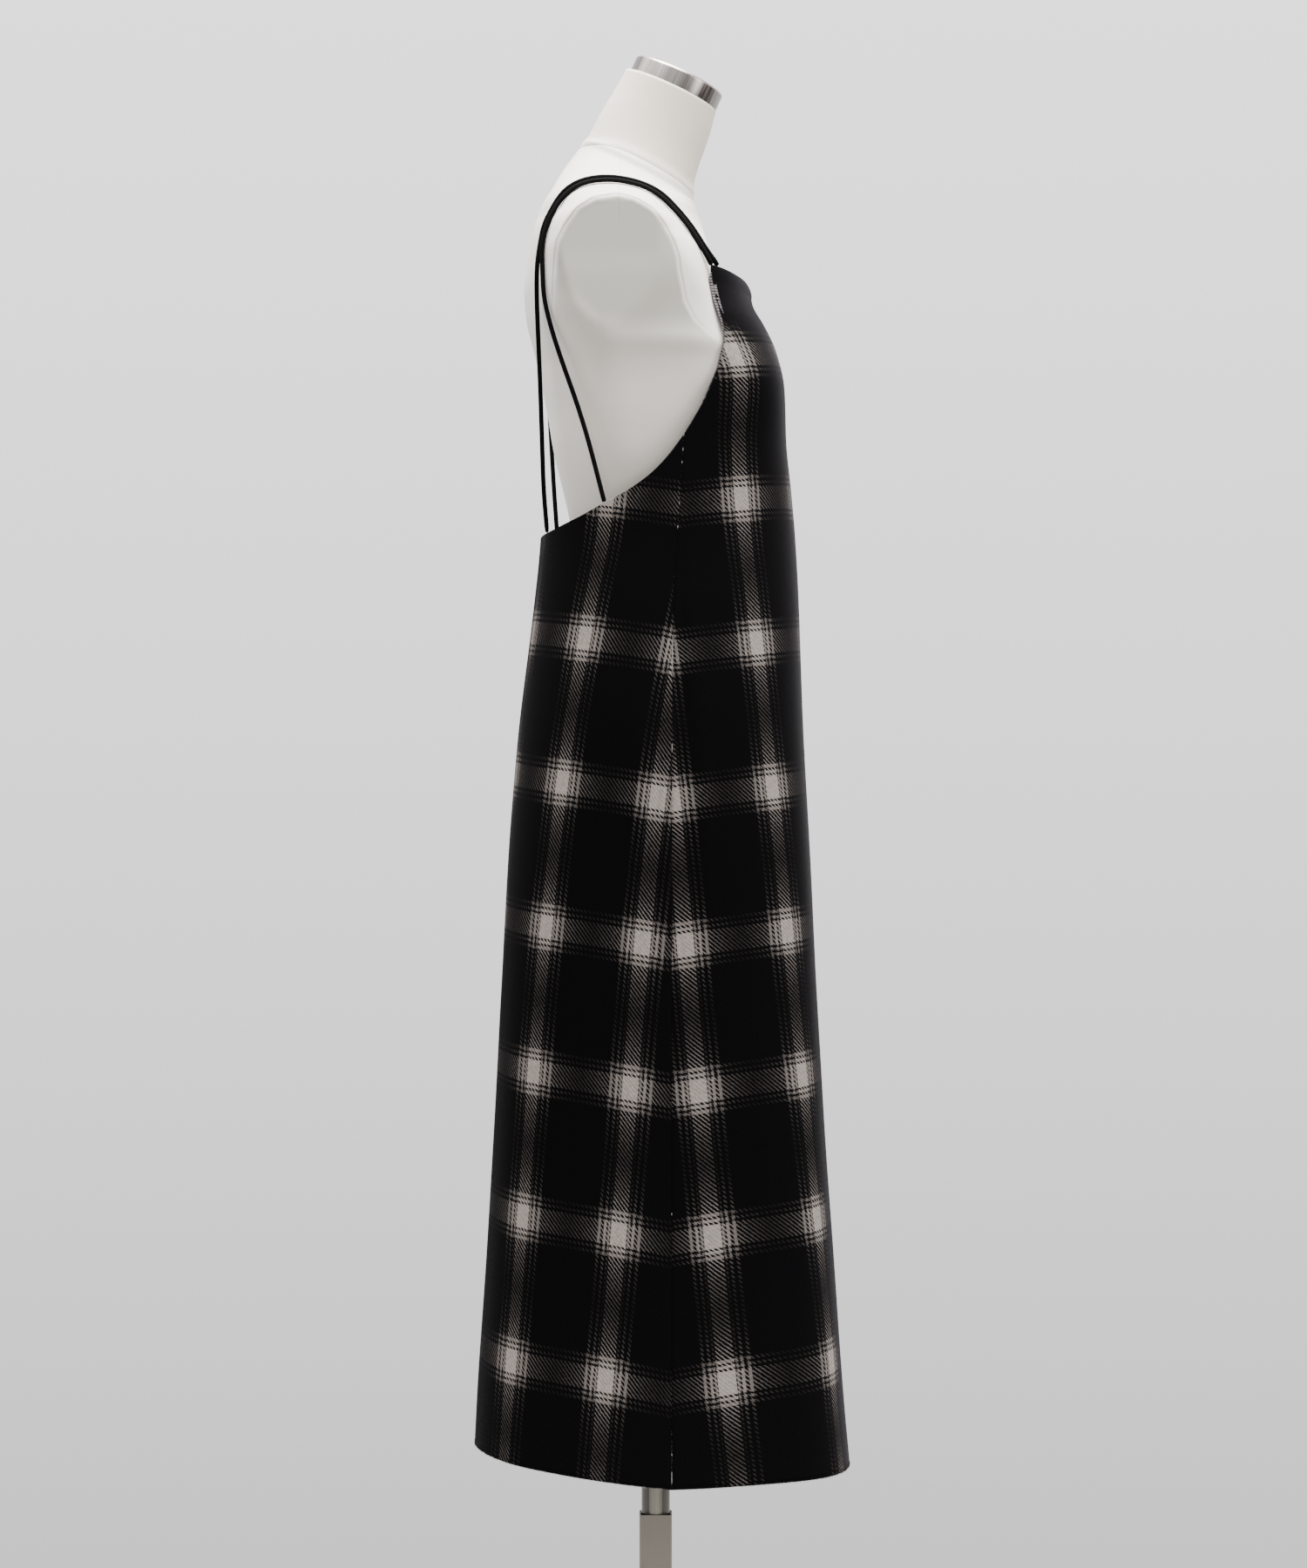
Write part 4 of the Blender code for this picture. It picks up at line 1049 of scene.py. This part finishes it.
# The arm plate's edge is crisp at its top and melts into the side below.
PLATE = Table("height softness", (
    (1240, 40.0), (1330, 42.0), (1385, 22.0), (1420, 9.0), (1470, 8.0)))
# How fast the front half's width turns into the back half's, at the sides.
SIDE_BLEND = 1.3
# The neck seam is highest at the sides, and dips at the front and more at the back.
NECK_SEAM_HEIGHT = 1521.5
NECK_SEAM_DIP_FRONT = 3.5
NECK_SEAM_DIP_BACK = 13.5
NECK_SEAM_REGION = (1500.0, 1534.0)
NECK_SEAM_STEP = 1.1
NECK_ROLL = Table("above proud", (
    (-4.0, 0.0), (0.0, 0.05), (2.0, 0.4), (4.0, 0.6), (6.5, 0.4), (10.0, 0.0)))
# A groove runs round each arm plate: its places as depth and height, from the back to the front.
GROOVE_PLACES = (
    (98, 1180), (97.5, 1300), (96.5, 1360), (94.2, 1398.4), (91.8, 1419.2), (84.6, 1433.2),
    (72.6, 1450.1), (55.8, 1460.2), (34.5, 1463.6), (18.5, 1459.4), (1.7, 1449.2), (-9.9, 1433.2),
    (-17.7, 1418.1), (-21.9, 1404.8), (-22.7, 1394.4), (-25.9, 1379.1), (-28.3, 1365.5),
    (-37.2, 1348.7), (-56.4, 1332.7), (-80, 1318), (-110, 1300), (-110, 1180))
PLATE_INSET = 0.9
PLATE_INSET_WIDTH = 4.0
PLATE_INSET_FROM = 1385.0
PLATE_INSET_FADE = 30.0
PLATE_SEARCH_X = 110.0
print("places round a cap's groove:", len(GROOVE_PLACES))

# %% [markdown]
# The form's rings lie close together all over, and closest where the neck's rolled edge needs
# them. Distance inside a line of places tells where an arm cap's groove and flat part are.

# %% Form rings and groove
def form_heights():
    """Heights of the rings."""
    rows = FORM.column("height")
    heights = []
    for low, high in zip(rows, rows[1:]):
        count = max(1, round((high - low) / FORM_RING_STEP))
        heights += list(np.linspace(low, high, count + 1)[:-1])
    heights.append(rows[-1])
    low, high = NECK_SEAM_REGION
    clear = [h for h in heights if not low - 1.0 < h < high + 1.0]
    return np.array(sorted(clear + list(np.arange(low, high + 0.1, NECK_SEAM_STEP))))


def inside_groove(depth, height):
    """Distance inside the groove's line, less than 0 outside it."""
    line = np.array(GROOVE_PLACES, dtype=float)
    at = np.stack((depth, height), axis=-1)
    nearest = np.full(at.shape[:-1], 1e9)
    inside = np.zeros(at.shape[:-1], dtype=bool)
    for start, end in zip(line, np.roll(line, -1, axis=0)):
        run = end - start
        share = np.clip(((at - start) @ run) / (run @ run), 0, 1)
        nearest = np.minimum(nearest, np.linalg.norm(at - start - share[..., None] * run, axis=-1))
        if start[1] != end[1]:
            crosses = (start[1] > at[..., 1]) != (end[1] > at[..., 1])
            reach = start[0] + (at[..., 1] - start[1]) / (end[1] - start[1]) * run[0]
            inside ^= crosses & (at[..., 0] < reach)
    return np.where(inside, nearest, -nearest)


print("form rings:", len(form_heights()))

# %% [markdown]
# The rings are ellipses with a power that squares or sharpens their corners. The bust and the
# neck's roll push points out, and the arm caps press them in against a plane at each side.

# %% Form surface
def form_points(heights):
    """Points of every ring, and how far each is inside the groove and above the neck seam."""
    value = {name: FORM.read(name, "height", heights)[:, None] for name in FORM.names[1:]}
    turn = np.linspace(-math.pi, math.pi, FORM_POINTS + 1)[:-1][None, :]
    front = np.cos(turn) > 0
    to_back = ease(0.5 - np.cos(turn) * SIDE_BLEND)
    power = value["front_power"] + (value["back_power"] - value["front_power"]) * to_back
    width = value["width_front"] + (value["width_back"] - value["width_front"]) * to_back
    reach = np.where(front, value["front"], value["back"]) - value["middle"]
    across = np.sign(np.sin(turn)) * np.abs(np.sin(turn)) ** (2 / power) * width
    depth = value["middle"] + reach * np.abs(np.cos(turn)) ** (2 / power)
    away = np.hypot(np.abs(across) - BUST_X, heights[:, None] - BUST_HEIGHT) / BUST_RADIUS
    depth = depth - np.where(front, BUST_RISE * np.exp(-away * away), 0.0)
    dip = np.where(front, NECK_SEAM_DIP_FRONT, NECK_SEAM_DIP_BACK) * np.abs(np.cos(turn)) ** 3
    above = heights[:, None] - (NECK_SEAM_HEIGHT - dip)
    roll = NECK_ROLL.read("proud", "above", above)
    from_middle = np.hypot(across, depth - value["middle"])
    grow = 1 + roll / np.maximum(from_middle, 1.0)
    across = across * grow
    depth = value["middle"] + (depth - value["middle"]) * grow
    up = heights[:, None] + (depth - RIDGE_DEPTH) * value["slope"]
    uncut = np.abs(across)
    softness = PLATE.read("softness", "height", heights)[:, None]
    share = np.clip(0.5 + 0.5 * (ARM_PLATE_X - uncut) / softness, 0, 1)
    pressed = ARM_PLATE_X + (uncut - ARM_PLATE_X) * share - softness * share * (1 - share)
    inside = np.where(uncut > PLATE_SEARCH_X, inside_groove(depth, up), -50.0)
    high_up = ease((up - PLATE_INSET_FROM) / PLATE_INSET_FADE)
    pressed -= PLATE_INSET * ease(inside / PLATE_INSET_WIDTH) * high_up
    across = np.sign(across) * pressed
    return np.stack((across, depth, up), axis=-1), inside, above


print("arm caps at x =", ARM_PLATE_X, "mm")

# %% [markdown]
# The cover is a fine jersey over a smooth shell, so it is almost plain. Over the flat arm caps it is
# painted darker, partly a greyer cover and partly painted shade. Below a cap the painted shade runs
# out in two steps, higher up towards the back, and the neck's cover is a little warmer.

# %% Form cover tints
PLATE_SHADE_EDGES = (0.8, 5.5)
PLATE_SHADE_STEPS = ((1283, 1335, 0.42), (1328, 1358, 0.58))
PLATE_SHADE_BACK_STARTS = 50.0
NECK_TINT_WIDTH = 8.0
COVER_PLATE_SHADE = "#aeaaa0"
COVER_NECK = "#ddd3c4"

form_material, form_shader, add = new_material(
    "stretch jersey form cover", Roughness=0.62, Specular_IOR_Level=0.3, Sheen_Weight=0.12)
form_place = add("TexCoord", out="Object")
form_depth, form_height = [add("SeparateXYZ", (form_place,), out=axis) for axis in "YZ"]
inside, above = [add("Attribute", attribute_name=name, out="Fac")
                 for name in ("inside_groove", "above_neck_seam")]

# Painted shade over the arm caps, fading out in two steps below them, higher up towards the back.
behind = add("Math MAXIMUM", (0.0, add("Math SUBTRACT", (form_depth, PLATE_SHADE_BACK_STARTS * MM))))
plate_shade_level = add("Math SUBTRACT", (form_height, behind))
low_shade_step, high_shade_step = [add("MapRange SMOOTHSTEP", (plate_shade_level, low * MM, high * MM, 0.0, most))
                       for low, high, most in PLATE_SHADE_STEPS]
plate_shade = add("MapRange SMOOTHSTEP", (inside, *[edge * MM for edge in PLATE_SHADE_EDGES]))
plate_shade = add("Math MULTIPLY", (plate_shade, add("Math ADD", (low_shade_step, high_shade_step))))
on_neck = add("MapRange SMOOTHSTEP", (above, 0.0, NECK_TINT_WIDTH * MM))
print("the cap's tint runs out between", [step[:2] for step in PLATE_SHADE_STEPS], "mm")

# %% [markdown]
# Sewn seams show as thin lines, a little darker than the cover, and beside the groove and under
# the neck's rolled edge the cover stands up in a soft bead.

# %% Form cover seams
GROOVE_LINE = 0.8
GROOVE_BEAD = (-2.6, 1.6)
GROOVE_LINE_FROM = (1320, 1420)
NECK_LINE = 0.5
NECK_BEAD = (3.0, 2.2)
SHOULDER_LINE = 0.35
SHOULDER_LINE_STRENGTH = 0.5
SHOULDER_SEAM_DEPTH = 34.0
SHOULDER_SEAM_BOTTOM = 1435.0


def line_mask(add, value, middle, half_width):
    """1 within half_width of the middle value, fading to 0 beside it."""
    off = add("Math ABSOLUTE", (add("Math SUBTRACT", (value, middle * MM)),))
    return add("MapRange", (off, half_width * 0.5 * MM, half_width * 1.6 * MM, 1.0, 0.0))


high_up = add("MapRange", (form_height, *[height * MM for height in GROOVE_LINE_FROM]))
rim_line = add("Math MULTIPLY", (line_mask(add, inside, 0.0, GROOVE_LINE), high_up))
neck_line = line_mask(add, above, 0.0, NECK_LINE)
shoulder_line = line_mask(add, form_depth, SHOULDER_SEAM_DEPTH, SHOULDER_LINE)
for limit in (add("Math GREATER_THAN", (form_height, SHOULDER_SEAM_BOTTOM * MM)),
              add("Math LESS_THAN", (above, 0.0)), SHOULDER_LINE_STRENGTH):
    shoulder_line = add("Math MULTIPLY", (shoulder_line, limit))
seam_lines = add("Math MAXIMUM", (add("Math MAXIMUM", (rim_line, neck_line)), shoulder_line))
groove_bead = add("Math MULTIPLY", (line_mask(add, inside, *GROOVE_BEAD), high_up))
beads = add("Math MAXIMUM", (groove_bead, line_mask(add, above, *NECK_BEAD)))
print("seam lines: rim, neck and shoulder")

# %% [markdown]
# Each tint is mixed over the one before it: the faint mottle of the jersey first, then the cap's
# painted shade, the neck's tint and the seams'. The knit itself is only in the bump, as it is too fine
# to be seen.

# %% Form cover material
SEAM_LINE_STRENGTH = 0.6
COVER_LIGHT = "#eee8de"
COVER_WARM = "#e6dfd3"
COVER_SEAM = "#877a72"

mottle = add("TexNoise", {"Vector": form_place, "Scale": 9.0, "Detail": 3.0})
cover = add("Mix RGBA", {"Factor": mottle, "A": linear(COVER_LIGHT), "B": linear(COVER_WARM)})
for share, tint in ((plate_shade, COVER_PLATE_SHADE), (on_neck, COVER_NECK),
                    (add("Math MULTIPLY", (seam_lines, SEAM_LINE_STRENGTH)), COVER_SEAM)):
    cover = add("Mix RGBA", {"Factor": share, "A": cover, "B": linear(tint)})

knit = add("TexNoise", {"Vector": form_place, "Scale": 700.0, "Detail": 1.0})
relief = add("Math MULTIPLY_ADD", (knit, 0.12, add("Math SUBTRACT", (beads, seam_lines))))
set_sockets(form_shader, {"Base Color": cover, "Normal": add("Bump", {
    "Strength": 0.5, "Distance": 0.5 * MM, "Height": relief})})
print("cover tints:", COVER_PLATE_SHADE, COVER_NECK)

# %% [markdown]
# The two distances, inside the groove and above the neck seam, go with the mesh as attributes, so
# that the cover's lines and tints follow the shape exactly.

# %% Form mesh
def make_form(material):
    heights = form_heights()
    points, inside, above = form_points(heights)
    rings, count = inside.shape
    faces = quads(rings, count, around=True)
    faces.append(tuple(range(count))[::-1])
    faces.append(tuple((rings - 1) * count + i for i in range(count)))
    form = new_piece("form_shell", points.reshape(-1, 3), faces, material, "form")
    only(form)
    bpy.ops.object.mode_set(mode="EDIT")
    bpy.ops.mesh.select_all(action="SELECT")
    bpy.ops.mesh.normals_make_consistent(inside=False)
    bpy.ops.object.mode_set(mode="OBJECT")
    for name, values in (("inside_groove", inside), ("above_neck_seam", above)):
        layer = form.data.attributes.new(name, "FLOAT", "POINT")
        layer.data.foreach_set("value", values.ravel() * MM)
    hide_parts("dress_form")
    return form

form_shell = make_form(form_material)
print("form:", len(form_shell.data.polygons), "faces")

# %% [markdown]
# ## Brushed steel
# The neck cap, pole, sleeve and base are stainless steel, brushed in one direction. Fine parallel
# scratches spread the reflections across them, so each has a streaked grey and soft highlights.

# %% Steel materials
def make_steel(name, dark, light, streak_scale, roughness, edge=None):
    """Brushed steel. streak_scale stretches the noise along the brush's direction. edge is a painted
    shade: the darker colour that a round tube turns to at its sides, where it is seen edge on."""
    material, shader, add = new_material(name, Metallic=1.0, Roughness=roughness)
    stretched = add("Mapping", {"Vector": add("TexCoord", out="Object"), "Scale": streak_scale})
    streaks = add("TexNoise", {"Vector": stretched, "Scale": 1.0, "Detail": 4.0, "Roughness": 0.65})
    colour = add("Mix RGBA", {"Factor": streaks, "A": linear(dark), "B": linear(light)})
    if edge:
        # Painted shade at the tube's sides, where its surface is seen edge on.
        side_on = add("LayerWeight", {"Blend": 0.5}, out="Facing")
        share = add("MapRange SMOOTHSTEP", (side_on, 0.04, 0.16))
        colour = add("Mix RGBA", {"Factor": share, "A": colour, "B": linear(edge)})
    set_sockets(shader, {
        "Base Color": colour,
        "Roughness": add("MapRange", (streaks, 0.0, 1.0, roughness - 0.1, roughness + 0.12)),
        "Normal": add("Bump", {"Strength": 0.15, "Distance": 0.05 * MM, "Height": streaks})})
    return material


pole_steel = make_steel("brushed stainless steel pole", "#777269", "#9d978e", (300.0, 300.0, 8.0),
                        0.34, "#55524d")
sleeve_steel = make_steel("satin nickel sleeve", "#77726a", "#89837a", (40.0, 40.0, 12.0), 0.5)
base_steel = make_steel("brushed steel base", "#8e8983", "#aca69f", (30.0, 700.0, 30.0), 0.42)
print("steels: pole, sleeve and base")

# %% [markdown]
# Broad darker and lighter bands follow each other round the cap's side: painted reflections. Rows
# place them from the back of the cap, 0, to its front, 1, and fine streaks along the cap's height lie
# over them.

# %% Neck cap steel
CAP_RADIUS = 45.0
CAP_HEIGHT = 17.0
CAP_EDGE = 3.5
CAP_DEPTH = -16.5
CAP_SLOPE = 0.46
CAP_GAP = 0.3
# Rows of place and tone of the painted reflections.
CAP_PAINTED_REFLECTIONS = ((0.0, 0.16), (0.07, 0.25), (0.12, 0.9), (0.34, 0.85), (0.42, 0.55), (0.52, 0.6),
             (0.60, 0.34), (0.68, 0.40), (0.72, 0.66), (0.755, 0.5), (0.785, 0.09), (0.90, 0.10),
             (0.925, 0.36), (1.0, 0.45))
CAP_TOP_TONE = 0.62
cap_tilt = math.atan(CAP_SLOPE)
neck_top = FORM.rows[-1][0] + (CAP_DEPTH - RIDGE_DEPTH) * CAP_SLOPE

cap_steel, cap_shader, add = new_material(
    "polished and brushed steel cap", Metallic=1.0, Roughness=0.3)
cap_place = add("Mapping", {
    "Vector": add("TexCoord", out="Object"), "Location": (0.0, CAP_DEPTH * MM, neck_top * MM),
    "Rotation": (cap_tilt, 0, 0)}, vector_type="TEXTURE")
cap_depth, cap_height = [add("SeparateXYZ", (cap_place,), out=axis) for axis in "YZ"]
# Painted reflections round the cap's side, by depth.
reflection_bands = add("ValToRGB", (add("MapRange", (cap_depth, CAP_RADIUS * MM, -CAP_RADIUS * MM)),))
set_ramp(reflection_bands, CAP_PAINTED_REFLECTIONS)
on_side = add("MapRange", (cap_height, (CAP_HEIGHT - 2.2) * MM, (CAP_HEIGHT - 0.8) * MM, 1.0, 0.0))
side_reflections = add("Math MULTIPLY_ADD", (
    add("Math SUBTRACT", (reflection_bands, CAP_TOP_TONE)), on_side, CAP_TOP_TONE))
streak_place = add("Mapping", {"Vector": cap_place, "Scale": (420.0, 420.0, 9.0)})
streaks = add("TexNoise", {"Vector": streak_place, "Scale": 1.0, "Detail": 4.0, "Roughness": 0.7})
fine = add("MapRange", (streaks, 0.3, 0.7, -0.16, 0.16))
reflections_and_streaks = add("Math ADD", (side_reflections, fine), use_clamp=True)
set_sockets(cap_shader, {
    "Base Color": add("Mix RGBA", {
        "Factor": reflections_and_streaks, "A": linear("#3b3230"), "B": linear("#ded6cf")}),
    "Roughness": add("MapRange", (streaks, 0.0, 1.0, 0.22, 0.42))})
print("cap tones:", len(CAP_PAINTED_REFLECTIONS))

# %% [markdown]
# The cap is a thick disc with a rolled upper edge. It is bevelled while it still lies flat, and
# only then tilted on to the neck, so the edge can be found by its height.

# %% Neck cap
CAP_SIDES = 96
CAP_EDGE_STEPS = 6
SMOOTH_UNDER = math.radians(35)

bpy.ops.object.select_all(action="DESELECT")
bpy.ops.mesh.primitive_cylinder_add(vertices=CAP_SIDES, radius=CAP_RADIUS * MM, depth=CAP_HEIGHT * MM,
                                    location=(0, 0, CAP_HEIGHT / 2 * MM))
cap = bpy.context.object
cap.name = "neck_cap_steel"
bpy.ops.object.transform_apply(location=True, rotation=True, scale=True)
bpy.ops.object.mode_set(mode="EDIT")
bpy.ops.mesh.select_all(action="DESELECT")
bpy.ops.object.mode_set(mode="OBJECT")
for edge in cap.data.edges:
    edge.select = all(cap.data.vertices[v].co.z > (CAP_HEIGHT - 0.1) * MM for v in edge.vertices)
bpy.ops.object.mode_set(mode="EDIT")
bpy.ops.mesh.select_mode(type="EDGE")
bpy.ops.mesh.bevel(offset=CAP_EDGE * MM, segments=CAP_EDGE_STEPS, profile=0.5)
bpy.ops.mesh.select_all(action="DESELECT")
bpy.ops.object.mode_set(mode="OBJECT")
cap.rotation_euler = (cap_tilt, 0, 0)
cap.location = (0, CAP_DEPTH * MM, (neck_top + CAP_GAP / math.cos(cap_tilt)) * MM)
bpy.ops.object.transform_apply(location=True, rotation=True, scale=True)
bpy.ops.object.shade_smooth_by_angle(angle=SMOOTH_UNDER)
cap.data.materials.append(cap_steel)
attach(cap, "form")
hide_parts("neck_cap")
print("neck cap:", len(cap.data.polygons), "faces")

# %% [markdown]
# ## Stand
# The pole is a round tube that slides in a square sleeve on the base plate, and a knob clamps it.
# Their solids are already right, so they keep their shapes and get their finishes.

# %% Stand finishes
knob_material, knob_shader, add = new_material(
    "moulded black ABS knob", Roughness=0.48, Specular_IOR_Level=0.45)
grain = add("TexNoise", {"Vector": add("TexCoord", out="Object"), "Scale": 1800.0, "Detail": 2.0})
set_sockets(knob_shader, {
    "Base Color": add("Mix RGBA", {
        "Factor": grain, "A": linear("#161617"), "B": linear("#232324")}),
    "Normal": add("Bump", {"Strength": 0.3, "Distance": 0.1 * MM, "Height": grain})})

STAND_FINISHES = {"pole": pole_steel, "stand_sleeve": sleeve_steel, "base_plate": base_steel,
                  "clamp_knob": knob_material}
for node, material in STAND_FINISHES.items():
    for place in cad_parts[node].material_slots:
        place.material = material
print("stand finishes:", sorted(STAND_FINISHES))

# %% [markdown]
# ## Floor, backdrop and light
# The photograph has a plain pale studio backdrop and soft light from above and both sides, with
# less from the camera's side. The world gives the backdrop and the fill, and large soft lamps
# give the rest.

# %% Floor
FLOOR_RADIUS = 0.93
FLOOR_HEIGHT = -0.001
bpy.ops.object.select_all(action="DESELECT")
bpy.ops.mesh.primitive_circle_add(vertices=128, radius=FLOOR_RADIUS, fill_type="NGON",
                                  location=(0, 0, FLOOR_HEIGHT))
floor = bpy.context.object
floor.name = "studio_floor"
bpy.ops.object.transform_apply(location=True, rotation=True, scale=True)
floor_material, floor_shader, add = new_material("painted studio floor", Roughness=0.8)
floor_noise = add("TexNoise", {"Vector": add("TexCoord", out="Object"), "Scale": 3.0})
set_sockets(floor_shader, {"Base Color": add("Mix RGBA", {
    "Factor": floor_noise, "A": linear("#c9c9c8"), "B": linear("#cfcfce")})})
floor.data.materials.append(floor_material)
print("floor radius:", FLOOR_RADIUS, "m")

# %% [markdown]
# The backdrop gets lighter with height. The room behind the camera is darker than the lit
# backdrop, which keeps the near side of the form in soft shade.

# %% World
SKY_TOP = "#fbfafb"
SKY_BOTTOM = "#b4b4b4"
SKY_STRENGTH = 2.15
ROOM_SHARE = 0.36
BACKDROP_EDGES = (-0.17, 0.17)
ROOM_EDGES = (-0.5, 0.4)
world = bpy.data.worlds.new("studio")
bpy.context.scene.world = world
world.use_nodes = True
add = partial(add_node, world.node_tree)
ray_x, ray_z = [add("SeparateXYZ", (add("TexCoord", out="Generated"),), out=axis) for axis in "XZ"]
climb = add("MapRange", (ray_z, *BACKDROP_EDGES))
room = add("MapRange", (ray_x, *ROOM_EDGES, ROOM_SHARE))
set_sockets(world.node_tree.nodes["Background"], {
    "Color": add("Mix RGBA", {"Factor": climb, "A": linear(SKY_BOTTOM), "B": linear(SKY_TOP)}),
    "Strength": add("Math MULTIPLY", (room, SKY_STRENGTH))})
print("world strength:", SKY_STRENGTH)

# %% [markdown]
# Three soft lamps light the figure: one above, one at its front, and a weak one low beside the
# camera that stands in for light from the floor. That one is kept out of the steel's reflections.

# %% Lamps
LAMPS = Table("name place aim size power", (
    ("top_softbox", (-0.3, 0.0, 3.4), (0, 0, 1.0), 1.8, 300.0),
    ("front_softbox", (-1.6, -3.0, 2.0), (0, 0, 1.0), 2.0, 60.0),
    ("low_fill", (-2.6, 0.1, 0.25), (0, 0, 1.25), 1.4, 20.0),
))
for lamp in LAMPS.each():
    light_data = bpy.data.lights.new(lamp["name"], "AREA")
    light_data.size = lamp["size"]
    light_data.energy = lamp["power"]
    lamp_object = bpy.data.objects.new(lamp["name"], light_data)
    lamp_object.location = lamp["place"]
    facing = Vector(lamp["aim"]) - Vector(lamp["place"])
    lamp_object.rotation_euler = facing.to_track_quat("-Z", "Y").to_euler()
    lamp_object.visible_glossy = lamp["name"] != "low_fill"
    bpy.context.scene.collection.objects.link(lamp_object)
print("lamps:", len(LAMPS.rows))
